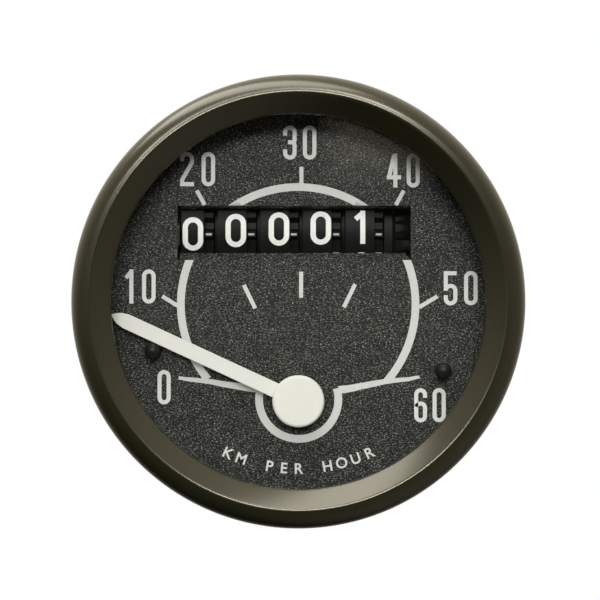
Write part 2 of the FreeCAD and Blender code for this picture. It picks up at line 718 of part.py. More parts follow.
def cross_wheel():
    """Wheel that the spindle's worm turns, with its hub."""
    root_half, tip_half = worm_thread(CROSS_MODULE, 0.25, 0.45)
    lead = CROSS_MODULE / (2 * SPINDLE_WORM_R)
    twist = math.degrees(WHEEL_W * lead / CROSS_R)
    # a gap faces the worm, straight down: local -90 degrees
    first = -90 + 180 / CROSS_TEETH
    root, tip = CROSS_R - 0.45, CROSS_R + 0.25
    wheel = helical_gear(CROSS_TEETH, root, tip, root_half, tip_half, first, WHEEL_W, twist)
    wheel = wheel.fuse(Part.makeCylinder(1.8, WHEEL_W + 2.4, V(0, 0, -WHEEL_W / 2 - 1.2)))
    wheel = wheel.cut(Part.makeCylinder(SHAFT_R, WHEEL_W + 4, V(0, 0, -WHEEL_W / 2 - 2)))
    return place(wheel, V(0, CROSS_SHAFT_Y, CROSS_SHAFT_Z), "X")


def drive_gap():
    """Degrees from the worm's side to the drive wheel's nearest gap, at mid width."""
    pitch = 360 / DRIVE_TEETH
    tooth = 182.4 % pitch
    return tooth - pitch / 2


def riser_shaft():
    """Riser with the worm that turns the drive wheel."""
    module = 2 * DRIVE_PITCH_R / DRIVE_TEETH
    root_half, tip_half = worm_thread(module, 0.4, 0.35)
    pitch = math.pi * module
    # the thread meets the wheel, at local 270 degrees, where the wheel's gap stands
    offset = DRIVE_PITCH_R * math.sin(math.radians(drive_gap()))
    crossing = 270 + 360 * offset / pitch
    room = riser_lugs()[1] - RUN_GAP - root_half - DRUM_Z
    turns = min(2.25, 2 * room / pitch)
    root, tip = RISER_WORM_R - 0.35, RISER_WORM_R + 0.4
    thread = worm(pitch, root, tip, root_half, tip_half, turns, crossing, True)
    thread.translate(V(RISER_X, RISER_Y, DRUM_Z))
    low, high = riser_lugs()[0] - 0.2, riser_lugs()[1] + LUG_T + 0.2
    shaft = Part.makeCylinder(SHAFT_R, high - low, V(RISER_X, RISER_Y, low))
    return thread.fuse(shaft).removeSplitter()


def riser_wheel():
    """Wheel that the cross shaft's worm turns, with its hub."""
    module = 2 * RISER_R / RISER_TEETH
    root_half, tip_half = worm_thread(module, 0.17, 0.32)
    lead = module / (2 * CROSS_WORM_R)
    twist = -math.degrees(WHEEL_W * lead / RISER_R)
    # a gap faces the worm, towards -Y
    first = -90 + 180 / RISER_TEETH
    root, tip = RISER_R - 0.32, RISER_R + 0.17
    wheel = helical_gear(RISER_TEETH, root, tip, root_half, tip_half, first, WHEEL_W, twist)
    wheel = wheel.fuse(Part.makeCylinder(1.5, WHEEL_W + 2.2, V(0, 0, -WHEEL_W / 2 - 1.3)))
    wheel = wheel.cut(Part.makeCylinder(SHAFT_R, WHEEL_W + 4, V(0, 0, -WHEEL_W / 2 - 2)))
    wheel.translate(V(RISER_X, RISER_Y, CROSS_SHAFT_Z))
    return wheel


# ---- odometer ------------------------------------------------------------------------
def plates():
    """Left and right side plates of the odometer, each with an ear, a foot and two holes."""
    out = []
    for low, foot in ((LEFT_PLATE_X, -FOOT_W), (RIGHT_PLATE_X, FOOT_W)):
        x = (low, low + PLATE_T)
        front = DIAL_BACK + DRUM_BEHIND_DIAL + 0.15
        ear = box(x, (front, FRAME_FRONT), (DRUM_Z + EAR_LOW, DRUM_Z + EAR_HIGH))
        corners = [e for e in ear.Edges if e.BoundBox.YMax < front + 0.01 and e.BoundBox.XLength > 0.1]
        ear = ear.makeFillet(1.2, [e for e in corners if e.BoundBox.ZLength < 0.01])
        main = box(x, (front + PLATE_FRONT, FRAME_FRONT), (DRUM_Z + PLATE_LOW, DRUM_Z + PLATE_HIGH))
        feet_x = (low + foot, low + 0.1) if foot < 0 else (low + PLATE_T - 0.1, low + PLATE_T + foot)
        step = box(feet_x, (FRAME_FRONT - PLATE_T, FRAME_FRONT), (DRUM_Z + FOOT_LOW, DRUM_Z + FOOT_HIGH))
        body = ear.fuse([main, step])
        wide = (low - 1, low + PLATE_T + 1)
        holes = [rod(ODO_SHAFT_R, wide, DRUM_Y, DRUM_Z), rod(PINION_SHAFT_R, wide, PINION_Y, PINION_Z)]
        side = [(px, pz) for px, pz in plate_screw_places() if px * foot > 0]
        holes += [bar(SMALL_SCREW_R + FIT_GAP, FRAME_FRONT - 2, FRAME_FRONT + 1, px, pz) for px, pz in side]
        out.append(body.cut(holes).removeSplitter())
    return out


def plate_screw_places():
    """(x, z) of the screws that hold the side plates' feet."""
    left = LEFT_PLATE_X - FOOT_W / 2
    right = RIGHT_PLATE_X + PLATE_T + FOOT_W / 2
    return [(x, DRUM_Z + dz) for x in (left, right) for dz in (-3.0, -0.6)]


def plate_screws():
    """Small screws through the side plates' feet into the frame plate."""
    out = []
    for x, z in plate_screw_places():
        seat = FRAME_FRONT - PLATE_T
        head = bar(SMALL_HEAD_R, seat - SMALL_HEAD_H, seat, x, z)
        out.append(head.fuse(bar(SMALL_SCREW_R, seat - 0.1, FRAME_BACK - 0.1, x, z)).removeSplitter())
    return Part.makeCompound(out)


def shaft_ends():
    """(low, high) x of the odometer's two fixed shafts."""
    return LEFT_PLATE_X - CLIP_W - 0.35, RIGHT_PLATE_X + PLATE_T + CLIP_W + 0.35


def shaft_clips():
    """Clips outside the side plates, on both fixed shafts."""
    out = []
    for low in (LEFT_PLATE_X - CLIP_W, RIGHT_PLATE_X + PLATE_T):
        x = (low, low + CLIP_W)
        for radius, y, z in ((ODO_SHAFT_R, DRUM_Y, DRUM_Z), (PINION_SHAFT_R, PINION_Y, PINION_Z)):
            out.append(rod(radius + CLIP_RIM, x, y, z).cut(rod(radius, (low - 1, low + 2), y, z)))
    return Part.makeCompound(out)


def drum(number):
    """A number drum: rim, web, hub and gear ring, and the two-tooth segment on its left."""
    rim_right = UNITS_RIM_X - number * DRUM_PITCH + RIM_W
    last = number == DRUM_COUNT - 1
    rim_left = LAST_RIM_X if last else rim_right - RIM_W
    y, z = DRUM_Y, DRUM_Z
    body = rod(DRUM_R, (rim_left, rim_right), y, z)
    body = body.cut(rod(DRUM_R - RIM_WALL, (rim_left - 1, rim_right + 1), y, z))
    hub_left = rim_left - (0.2 if last else SEGMENT_W)
    hub_right = rim_right - RIM_W + DRUM_PITCH - SEGMENT_W - 0.04
    halves = (RING_ROOT_HALF, RING_TIP_HALF)
    ring = gear(RING_TEETH, RING_ROOT, RING_TIP, *halves, RING_TOOTH_AT, RING_W)
    parts = [
        place(ring, V(rim_right, y, z), "X"),
        rod(DRUM_R - RIM_WALL + 0.1, (rim_right - WEB_T, rim_right), y, z),
        rod(DRUM_HUB_R, (hub_left, hub_right), y, z),
    ]
    if not last:
        parts += segment(number, rim_left)
    body = body.fuse(parts)
    return body.cut(rod(ODO_SHAFT_R + RUN_GAP, (hub_left - 1, hub_right + 1), y, z)).removeSplitter()


def segment(number, rim_left):
    """Locking disc left of a drum, with the two teeth that move the next drum on."""
    since = 1.5 if number == 0 else 0.5
    centre = PINION_AT - 36 * since
    disc = rod(RING_ROOT, (rim_left - SEGMENT_W, rim_left + WEB_T), DRUM_Y, DRUM_Z)
    radii = (RING_ROOT - 0.1, RING_TIP - 0.1)
    ring = gear(RING_TEETH, *radii, RING_ROOT_HALF, RING_TIP_HALF, centre - 9, SEGMENT_W + 0.1)
    sector = Part.makeCylinder(RING_TIP, SEGMENT_W + 0.1, V(0, 0, 0), V(0, 0, 1), 36)
    sector.rotate(V(0, 0, 0), V(0, 0, 1), centre - 18)
    teeth = ring.common(sector)
    rim_web = rod(DRUM_R - RIM_WALL + 0.1, (rim_left, rim_left + WEB_T), DRUM_Y, DRUM_Z)
    return [disc, rim_web, place(teeth, V(rim_left - SEGMENT_W, DRUM_Y, DRUM_Z), "X")]


def pinion(number):
    """Transfer pinion between a drum's segment and the next drum's gear ring."""
    left = UNITS_RIM_X - (number + 1) * DRUM_PITCH + RIM_W + 0.05
    right = UNITS_RIM_X - number * DRUM_PITCH - 0.05
    first = PINION_AT + 180
    tip = PINION_GAP - RING_ROOT - 0.12
    root = PINION_GAP - RING_TIP - 0.15
    body = gear(PINION_TEETH, root, tip, PINION_ROOT_HALF, PINION_TIP_HALF, first, right - left)
    body = place(body, V(left, PINION_Y, PINION_Z), "X")
    hub = (left - 0.02, left - 0.06 + DRUM_PITCH)
    hub_r = min(1.25, PINION_GAP - DRUM_R - 0.15)
    body = body.fuse(rod(hub_r, hub, PINION_Y, PINION_Z))
    return body.cut(rod(PINION_SHAFT_R + RUN_GAP, (hub[0] - 1, hub[1] + 1), PINION_Y, PINION_Z))


def drive_wheel():
    """Helical wheel right of the units drum, turned by the riser's worm."""
    module = 2 * DRIVE_PITCH_R / DRIVE_TEETH
    root_half, tip_half = worm_thread(module, 0.15, 0.5)
    lead = module / (2 * RISER_WORM_R)
    twist = -math.degrees(DRIVE_W * lead / DRIVE_PITCH_R)
    first = drive_gap() + 180 / DRIVE_TEETH
    root, tip = DRIVE_PITCH_R - 0.5, DRIVE_PITCH_R + 0.15
    wheel = helical_gear(DRIVE_TEETH, root, tip, root_half, tip_half, first, DRIVE_W, twist)
    wheel = place(wheel, V(RISER_X, DRUM_Y, DRUM_Z), "X")
    end = (DRIVE_X - 1, DRIVE_X + DRIVE_W + 1)
    hub = rod(DRUM_HUB_R, (DRIVE_X, RIGHT_PLATE_X - 0.05), DRUM_Y, DRUM_Z)
    return wheel.fuse(hub).cut(rod(ODO_SHAFT_R + RUN_GAP, end, DRUM_Y, DRUM_Z)).removeSplitter()


def drive_collar():
    """Plain collar between the units drum and the drive wheel."""
    x = (COLLAR_X, COLLAR_X + COLLAR_W)
    hub = (UNITS_RIM_X + DRUM_PITCH - SEGMENT_W, COLLAR_X + COLLAR_W)
    body = rod(COLLAR_R, x, DRUM_Y, DRUM_Z).fuse(rod(DRUM_HUB_R, hub, DRUM_Y, DRUM_Z))
    return body.cut(rod(ODO_SHAFT_R + RUN_GAP, (hub[0] - 1, x[1] + 1), DRUM_Y, DRUM_Z))


def friction_washer():
    """Fibre washer between the collar and the drive wheel."""
    x = (COLLAR_X + COLLAR_W, DRIVE_X)
    body = rod(WASHER_R, x, DRUM_Y, DRUM_Z)
    return body.cut(rod(ODO_SHAFT_R + RUN_GAP, (x[0] - 1, x[1] + 1), DRUM_Y, DRUM_Z))


def main():
    """Build every piece and write it as parts/NODE.step."""
    left_plate, right_plate = plates()
    pieces = {
        "bezel": bezel(),
        "glass": glass(),
        "glass_gasket": glass_gasket(),
        "spacer_ring": spacer_ring(),
        "housing_can": housing_can(),
        "drive_nipple": drive_nipple(),
        "spindle_bush": spindle_bush(),
        "mounting_studs": mounting_studs(),
        "frame_screws": frame_screws(),
        "dial": dial(),
        "stop_pins": stop_pins(),
        "front_bridge": front_bridge(),
        "staff_bush": staff_bush(),
        "bridge_pillars": pillars(),
        "hairspring": hairspring(),
        "movement_frame": movement_frame(),
        "drive_spindle": drive_spindle(),
        "ring_magnet": magnet(),
        "field_cup": field_cup(),
        "drag_cup": drag_cup(),
        "pointer_staff": pointer_staff(),
        "hairspring_collet": collet(),
        "needle_hub": needle_hub(),
        "needle": needle(),
        "needle_cap": needle_cap(),
        "cross_shaft": cross_shaft(),
        "cross_wheel": cross_wheel(),
        "riser_shaft": riser_shaft(),
        "riser_wheel": riser_wheel(),
        "odometer_plate_left": left_plate,
        "odometer_plate_right": right_plate,
        "plate_screws": plate_screws(),
        "odometer_shaft": rod(ODO_SHAFT_R, shaft_ends(), DRUM_Y, DRUM_Z),
        "pinion_shaft": rod(PINION_SHAFT_R, shaft_ends(), PINION_Y, PINION_Z),
        "shaft_clips": shaft_clips(),
        "drive_wheel": drive_wheel(),
        "drive_collar": drive_collar(),
        "friction_washer": friction_washer(),
    }
    names = ["units", "tens", "hundreds", "thousands", "ten_thousands"]
    for number, name in enumerate(names):
        pieces[name + "_drum"] = drum(number)
    for number in range(DRUM_COUNT - 1):
        pieces[f"transfer_pinion_{number + 1}"] = pinion(number)
    os.makedirs("parts", exist_ok=True)
    for name, shape in pieces.items():
        if not shape.isValid():
            print("not valid:", name)
        print(f"{name:24s} solids {len(shape.Solids)} volume {shape.Volume:10.3f}")
        shape.exportStep(f"parts/{name}.step")


main()
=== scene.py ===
import json
import logging
import math
from contextlib import contextmanager
from dataclasses import dataclass
from enum import Enum
from typing import Callable, Iterator, Sequence

import bmesh
import bpy
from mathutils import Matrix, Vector

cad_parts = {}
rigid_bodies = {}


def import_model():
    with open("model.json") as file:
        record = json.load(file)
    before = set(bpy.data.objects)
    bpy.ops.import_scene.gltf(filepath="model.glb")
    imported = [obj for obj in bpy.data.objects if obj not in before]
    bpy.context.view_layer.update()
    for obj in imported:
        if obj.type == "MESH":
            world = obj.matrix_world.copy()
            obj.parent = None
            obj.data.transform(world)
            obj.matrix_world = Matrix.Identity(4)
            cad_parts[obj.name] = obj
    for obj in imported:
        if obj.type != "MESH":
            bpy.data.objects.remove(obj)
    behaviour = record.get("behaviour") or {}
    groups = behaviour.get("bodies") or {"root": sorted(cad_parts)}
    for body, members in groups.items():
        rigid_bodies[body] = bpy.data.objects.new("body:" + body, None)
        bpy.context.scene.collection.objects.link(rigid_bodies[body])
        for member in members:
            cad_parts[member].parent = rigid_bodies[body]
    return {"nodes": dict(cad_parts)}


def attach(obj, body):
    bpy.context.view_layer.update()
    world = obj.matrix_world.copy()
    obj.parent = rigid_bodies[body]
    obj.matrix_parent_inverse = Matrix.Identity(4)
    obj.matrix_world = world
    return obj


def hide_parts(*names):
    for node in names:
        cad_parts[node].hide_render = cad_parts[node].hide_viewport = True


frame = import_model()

LOG = logging.getLogger("speedometer")
MM = 0.001
MERGE = 1e-7  # metres; nearer points are one point
SEAM = 2e-7  # metres; the same, between the first and last ring of a turned piece
LEAST_RADIUS = 1e-4  # millimetres; a ring on the axis is this small
ROUND_MIDDLE = 0.293  # a round corner's middle stands in by this share of its radius
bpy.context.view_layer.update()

Piece = bpy.types.Object
Material = bpy.types.Material
Node = bpy.types.Node
Socket = bpy.types.NodeSocket
Tree = bpy.types.NodeTree
Point = tuple[float, float]
Place = tuple[float, float, float]
Colour = tuple[float, float, float]
Stroke = list[Point]


# ---- working with bpy.ops --------------------------------------------------------------
def only(obj: Piece) -> None:
    """Leave this object selected and active, and nothing else."""
    bpy.ops.object.select_all(action="DESELECT")
    obj.select_set(True)
    bpy.context.view_layer.objects.active = obj


def named(obj: Piece, name: str) -> Piece:
    """Name an object and its mesh."""
    obj.name = name
    obj.data.name = name
    return obj


def fresh() -> None:
    """Deselect everything before a primitive is added."""
    if bpy.context.object and bpy.context.object.mode != "OBJECT":
        bpy.ops.object.mode_set(mode="OBJECT")
    bpy.ops.object.select_all(action="DESELECT")


@contextmanager
def editing(obj: Piece) -> Iterator[None]:
    """Edit this object's whole mesh, and return to object mode at the end."""
    only(obj)
    bpy.ops.object.mode_set(mode="EDIT")
    bpy.ops.mesh.select_all(action="SELECT")
    yield
    bpy.ops.object.mode_set(mode="OBJECT")


def settle(obj: Piece, name: str, smooth: float = 32.0) -> Piece:
    """Merge seams, turn faces outwards, bring the object to the origin and shade it.

    Args:
        obj: the object to finish.
        name: its final name.
        smooth: edges sharper than this, in degrees, stay crisp.

    Returns:
        The same object.
    """
    with editing(obj):
        bpy.ops.mesh.remove_doubles(threshold=MERGE)
        bpy.ops.mesh.normals_make_consistent(inside=False)
    bpy.ops.object.transform_apply(location=True, rotation=True, scale=True)
    bpy.ops.object.shade_smooth_by_angle(angle=math.radians(smooth))
    return named(obj, name)


def join(parts: Sequence[Piece], name: str) -> Piece:
    """Join finished meshes into one object of this name."""
    only(parts[0])
    for part in parts[1:]:
        part.select_set(True)
    if len(parts) > 1:
        bpy.ops.object.join()
    return named(bpy.context.view_layer.objects.active, name)


def copy_of(obj: Piece) -> Piece:
    """A copy with its own mesh."""
    twin = obj.copy()
    twin.data = obj.data.copy()
    bpy.context.scene.collection.objects.link(twin)
    return twin


def bend_each(obj: Piece, rule: Callable[[Vector], Vector]) -> None:
    """Move every vertex by a rule from its place to its new place."""
    for vertex in obj.data.vertices:
        vertex.co = rule(vertex.co.copy())
    obj.data.update()


def arc(start: Point, middle: Point, end: Point, steps: int) -> list[Point]:
    """Points on the arc through three points, without the first one."""
    (ax, ay), (bx, by), (cx, cy) = start, middle, end
    d = 2 * (ax * (by - cy) + bx * (cy - ay) + cx * (ay - by))
    a2, b2, c2 = ax * ax + ay * ay, bx * bx + by * by, cx * cx + cy * cy
    ux = (a2 * (by - cy) + b2 * (cy - ay) + c2 * (ay - by)) / d
    uy = (a2 * (cx - bx) + b2 * (ax - cx) + c2 * (bx - ax)) / d
    radius = math.hypot(ax - ux, ay - uy)
    first, mid, last = (math.atan2(y - uy, x - ux) for x, y in (start, middle, end))
    turn = 2 * math.pi
    forward = (last - first) % turn
    sweep = forward if (mid - first) % turn <= forward else forward - turn
    angles = [first + sweep * (i + 1) / steps for i in range(steps)]
    return [(ux + radius * math.cos(a), uy + radius * math.sin(a)) for a in angles]


def levels(low: float, high: float, count: int) -> list[float]:
    """Even steps from low to high, both ends included."""
    return [low + (high - low) * i / count for i in range(count + 1)]


def circle(
    cx: float, cy: float, radius: float, start: float, end: float, steps: int = 14
) -> Stroke:
    """Points along a circle from one angle to another, in degrees."""
    turns = [math.radians(degrees) for degrees in levels(start, end, steps)]
    return [(cx + radius * math.cos(a), cy + radius * math.sin(a)) for a in turns]


class Way(Enum):
    """The row axis that a turned piece is turned about."""

    DEPTH = (math.pi / 2, 0.0, 0.0)
    ACROSS = (0.0, math.pi / 2, 0.0)


@dataclass
class Turned:
    """A piece turned about an axis: rings extruded one from the next, then closed.

    Profile points are (radius, position along the axis), in millimetres.
    """

    profile: list[Point]
    centre: Place = (0.0, 0.0, 0.0)
    way: Way = Way.DEPTH
    segments: int = 192
    closed: bool = True

    def at(self, along: float) -> Vector:
        """The axis point at a distance along the axis, in metres."""
        x, y, z = self.centre
        if self.way is Way.DEPTH:
            return Vector((x, y + along, z)) * MM
        return Vector((x + along, y, z)) * MM

    def make(self, name: str, smooth: float = 32.0) -> Piece:
        """Build the piece.

        Args:
            name: the object's name.
            smooth: the shading angle in degrees.

        Returns:
            The finished object.
        """
        fresh()
        radius, along = self.profile[0]
        bpy.ops.mesh.primitive_circle_add(
            vertices=self.segments,
            radius=max(radius, LEAST_RADIUS) * MM,
            location=self.at(along),
            rotation=self.way.value,
        )
        obj = bpy.context.object
        bpy.ops.object.transform_apply(location=True, rotation=True, scale=True)
        bpy.ops.object.mode_set(mode="EDIT")
        bpy.ops.mesh.select_mode(type="EDGE")
        bpy.ops.mesh.select_all(action="SELECT")
        for next_radius, next_along in self.profile[1:]:
            step = self.at(next_along) - self.at(along)
            bpy.ops.mesh.extrude_region_move(TRANSFORM_OT_translate={"value": step})
            scale = max(next_radius, LEAST_RADIUS) / max(radius, LEAST_RADIUS)
            grow = (scale, 1, scale) if self.way is Way.DEPTH else (1, scale, scale)
            bpy.ops.transform.resize(value=grow, center_override=self.at(next_along))
            radius, along = next_radius, next_along
        if self.closed:
            bpy.ops.mesh.select_all(action="SELECT")
            bpy.ops.mesh.remove_doubles(threshold=SEAM)
            bpy.ops.mesh.select_all(action="DESELECT")
            bpy.ops.mesh.select_non_manifold()
            if any(v.select for v in bmesh.from_edit_mesh(obj.data).verts):
                bpy.ops.mesh.bridge_edge_loops()
        bpy.ops.object.mode_set(mode="OBJECT")
        return settle(obj, name, smooth)


@dataclass
class Strip:
    """A flat printed strip along a path of (x, z) points in millimetres.

    Its front lies at `front` along Y and it is `thickness` deep.
    """

    path: Stroke
    widths: float | Sequence[float]
    front: float
    thickness: float = 0.025
    closed: bool = False

    def rails(self) -> tuple[Stroke, Stroke]:
        """The two edges of the strip, mitred at each point."""
        points = self.path[:-1] if self.closed else list(self.path)
        count = len(points)
        left, right = [], []
        for i, (x, z) in enumerate(points):
            before = points[i - 1] if self.closed or i else None
            after = points[(i + 1) % count] if self.closed or i < count - 1 else None
            runs = []
            for a, b in ((before, (x, z)), ((x, z), after)):
                if a is None or b is None:
                    continue
                size = math.hypot(b[0] - a[0], b[1] - a[1])
                runs.append(((b[0] - a[0]) / size, (b[1] - a[1]) / size))
            dx, dz = sum(r[0] for r in runs), sum(r[1] for r in runs)
            size = math.hypot(dx, dz)
            dx, dz = dx / size, dz / size
            spread = 1 / max(dx * runs[0][0] + dz * runs[0][1], 0.5)
            width = self.widths if isinstance(self.widths, (int, float)) else self.widths[i]
            half = width / 2 * spread
            left.append((x - dz * half, z + dx * half))
            right.append((x + dz * half, z - dx * half))
        if self.closed:
            left.append(left[0])
            right.append(right[0])
        return left, right

    def make(self, name: str) -> Piece:
        """Build the strip as a closed slab and return it."""
        left, right = self.rails()
        fresh()
        bpy.ops.mesh.primitive_grid_add(
            x_subdivisions=len(left) - 1, y_subdivisions=1, size=MM
        )
        obj = bpy.context.object
        for i, vertex in enumerate(obj.data.vertices):
            row, column = divmod(i, len(left))
            x, z = (right, left)[row][column]
            vertex.co = (x * MM, self.front * MM, z * MM)
        if self.closed:
            with editing(obj):
                bpy.ops.mesh.remove_doubles(threshold=MERGE)
        wall = obj.modifiers.new("slab", "SOLIDIFY")
        wall.thickness = self.thickness * MM
        wall.offset = -1.0
        obj.data.update()
        if obj.data.polygons[0].normal.y > 0:
            wall.offset = 1.0
        bpy.ops.object.modifier_apply(modifier="slab")
        return settle(obj, name, 20)


# ---- numerals --------------------------------------------------------------------------
LONGEST_RUN = 0.35  # millimetres between the points of a stroke
STROKE_STEP = 0.12  # share of the ink's depth between one stroke's face and the next
SAME_POINT = 1e-5  # millimetres; nearer points of a stroke are one point


@dataclass(frozen=True)
class Numeral:
    """A numeral drawn with one even stroke in an upright box, in millimetres."""

    width: float
    height: float
    stroke: float

    def strokes(self, digit: str) -> list[Stroke]:
        """The centre lines of a digit; those of 0 and 8 close on themselves."""
        a, b = (self.width - self.stroke) / 2, (self.height - self.stroke) / 2
        top, low = b - a, a - b
        end, half = self.height / 2, self.stroke / 2
        arch = circle(0, top, a, 180, 0)
        bowl = circle(0, low, a, 0, -180)
        shapes: dict[str, list[Stroke]] = {
            "0": [arch + bowl],
            "1": [
                [(0.22 * a, -end), (0.22 * a, end)],
                [(0.3 * a, end - 0.42 * a), (-1.1 * a, 0.56 * b)],
            ],
            "2": [
                [(-a, 0.52 * b)] + arch + [(a, 0.42 * b), (-a, -0.72 * b), (-a, -end)],
                [(-a - half, -b), (a + half, -b)],
            ],
            "3": [
                [(-a, 0.46 * b)]
                + arch
                + circle(0.5 * a, 0.55 * a, 0.5 * a, 0, -90, 6)
                + [(-0.4 * a, 0.05 * a)],
                circle(0.5 * a, -0.55 * a, 0.5 * a, 90, 0, 6) + bowl + [(-a, -0.46 * b)],
            ],
            "4": [
                [(0.42 * a, -end), (0.42 * a, end)],
                [(0.42 * a - 0.6 * half, b + 0.2 * half), (-0.92 * a, -0.4 * b)],
                [(-a - half, -0.46 * b), (a + 1.5 * half, -0.46 * b)],
            ],
            "5": [
                [(-a - half, b), (a + 0.6 * half, b)],
                [(-a, b), (-a, -0.16 * b)],
                circle(0, 0.16 * b - a, a, 165, 0) + bowl + [(-a, -0.46 * b)],
            ],
            "6": [[(a, 0.5 * b)] + arch[::-1] + bowl[::-1] + circle(0, 0.12 * b - a, a, 0, 165)],
            "7": [[(-a - half, b), (a, b), (a, 0.62 * b), (-0.3 * a, -end)]],
            "8": [
                circle(0, top, a, 0, 180) + circle(0, 0.08 * b + a, a, 180, 360),
                circle(0, -0.08 * b - a, a, 0, 180) + circle(0, low, a, 180, 360),
            ],
            "9": [
                [(-a, -0.5 * b)]
                + bowl[::-1]
                + arch[::-1]
                + circle(0, -0.12 * b + a, a, 180, 345)
            ],
        }
        return shapes[digit]

    def make(self, digit: str, front: float, thickness: float) -> Piece:
        """Build one digit centred on the axis, facing -Y.

        Args:
            digit: the digit.
            front: where its first stroke's face lies along Y.
            thickness: how deep it is. Each further stroke starts a little further back.

        Returns:
            The joined strokes.
        """
        closed = digit in "08"
        parts = []
        for number, path in enumerate(self.strokes(digit)):
            path = finely(path + path[:1] if closed else path, LONGEST_RUN)
            step = STROKE_STEP * thickness * number
            strip = Strip(path, self.stroke, front + step, thickness - step, closed)
            parts.append(strip.make(f"stroke_{number}"))
        return join(parts, f"digit_{digit}")


def finely(path: Stroke, longest: float) -> Stroke:
    """The same path with its long runs divided, and repeated points dropped."""
    out = [path[0]]
    for x, z in path[1:]:
        px, pz = out[-1]
        run = math.hypot(x - px, z - pz)
        if run < SAME_POINT:
            continue
        shares = levels(0, 1, max(1, math.ceil(run / longest)))[1:]
        out += [(px + (x - px) * share, pz + (z - pz) * share) for share in shares]
    return out


# ---- finishes --------------------------------------------------------------------------
FLOAT, COLOUR = "NodeSocketFloat", "NodeSocketColor"
MIX_INPUTS, MIX_OUTPUT = (0, 6, 7), 2  # a colour Mix node's share and colours, and its result


@dataclass
class Graph:
    """A thin hand for building node trees."""

    tree: Tree

    def node(self, kind: str, **values: object) -> Node:
        """Add a node and set its properties, or its inputs by name."""
        made = self.tree.nodes.new(kind)
        for key, value in values.items():
            if hasattr(made, key):
                setattr(made, key, value)
            else:
                made.inputs[key.replace("_", " ")].default_value = value
        return made

    def wire(self, source: Socket, target: Socket) -> None:
        """Link two sockets."""
        self.tree.links.new(source, target)

    def feed(self, value: object, target: Socket) -> None:
        """Link a socket to the target, or set the target to a number or a colour."""
        if isinstance(value, Socket):
            self.wire(value, target)
        else:
            target.default_value = (*value, 1.0) if isinstance(value, tuple) else value

    def maths(self, operation: str, first: object, second: object = 0.0) -> Socket:
        """A Math node on sockets or numbers; returns its output."""
        made = self.node("ShaderNodeMath", operation=operation)
        self.feed(first, made.inputs[0])
        self.feed(second, made.inputs[1])
        return made.outputs[0]

    def blend(self, share: Socket, first: object, second: object) -> Socket:
        """A colour Mix node; returns its output."""
        made = self.node("ShaderNodeMix", data_type="RGBA")
        for place, value in zip(MIX_INPUTS, (share, first, second)):
            self.feed(value, made.inputs[place])
        return made.outputs[MIX_OUTPUT]

    def noise(self, place: Socket, scale: object, **values: float) -> Socket:
        """A Noise Texture on these coordinates; returns its value."""
        made = self.node("ShaderNodeTexNoise", **values)
        self.wire(place, made.inputs["Vector"])
        self.feed(scale, made.inputs["Scale"])
        return made.outputs[0]

    def remap(self, value: Socket, *spans: object) -> Socket:
        """A Map Range node from the first two spans to the last two; returns its output."""
        made = self.node("ShaderNodeMapRange")
        self.wire(value, made.inputs["Value"])
        for name, span in zip(("From Min", "From Max", "To Min", "To Max"), spans):
            self.feed(span, made.inputs[name])
        return made.outputs[0]

    def own_place(self) -> Socket:
        """The piece's own coordinates."""
        return self.node("ShaderNodeTexCoord").outputs["Object"]

    def vectors(self, operation: str, first: Socket, second: object) -> Node:
        """A Vector Math node on a socket and a socket or a fixed vector; returns the node."""
        made = self.node("ShaderNodeVectorMath", operation=operation)
        self.wire(first, made.inputs[0])
        if isinstance(second, Socket):
            self.wire(second, made.inputs[1])
        else:
            made.inputs[1].default_value = second
        return made

    def pick(self, ray: str, others: Node, these: Node, output: Node) -> None:
        """Show one shader to a kind of ray and another shader to all others.

        Args:
            ray: the name of the Light Path output.
            others: the shader that other rays meet.
            these: the shader that such rays meet.
            output: the output node.
        """
        mixed = self.node("ShaderNodeMixShader")
        path = self.node("ShaderNodeLightPath")
        for place, source in enumerate((path.outputs[ray], others.outputs[0], these.outputs[0])):
            self.wire(source, mixed.inputs[place])
        self.wire(mixed.outputs[0], output.inputs["Surface"])

    def ends(self) -> tuple[bpy.types.NodeInputs, bpy.types.NodeInputs]:
        """A group's own inputs, as sockets to draw from, and its outputs to fill."""
        return self.node("NodeGroupInput").outputs, self.node("NodeGroupOutput").inputs


def new_group(name: str, colours: Sequence[str], numbers: Sequence[str]) -> Graph:
    """Start a node group that gives a colour, a roughness and a height.

    Args:
        name: the group's name.
        colours: the names of its colour inputs.
        numbers: the names of its number inputs.

    Returns:
        The graph of the new group.
    """
    tree = bpy.data.node_groups.new(name, "ShaderNodeTree")
    for side, kind, titles in (
        ("INPUT", COLOUR, colours),
        ("INPUT", FLOAT, numbers),
        ("OUTPUT", COLOUR, ["Colour"]),
        ("OUTPUT", FLOAT, ["Roughness", "Height"]),
    ):
        for title in titles:
            tree.interface.new_socket(title, in_out=side, socket_type=kind)
    return Graph(tree)


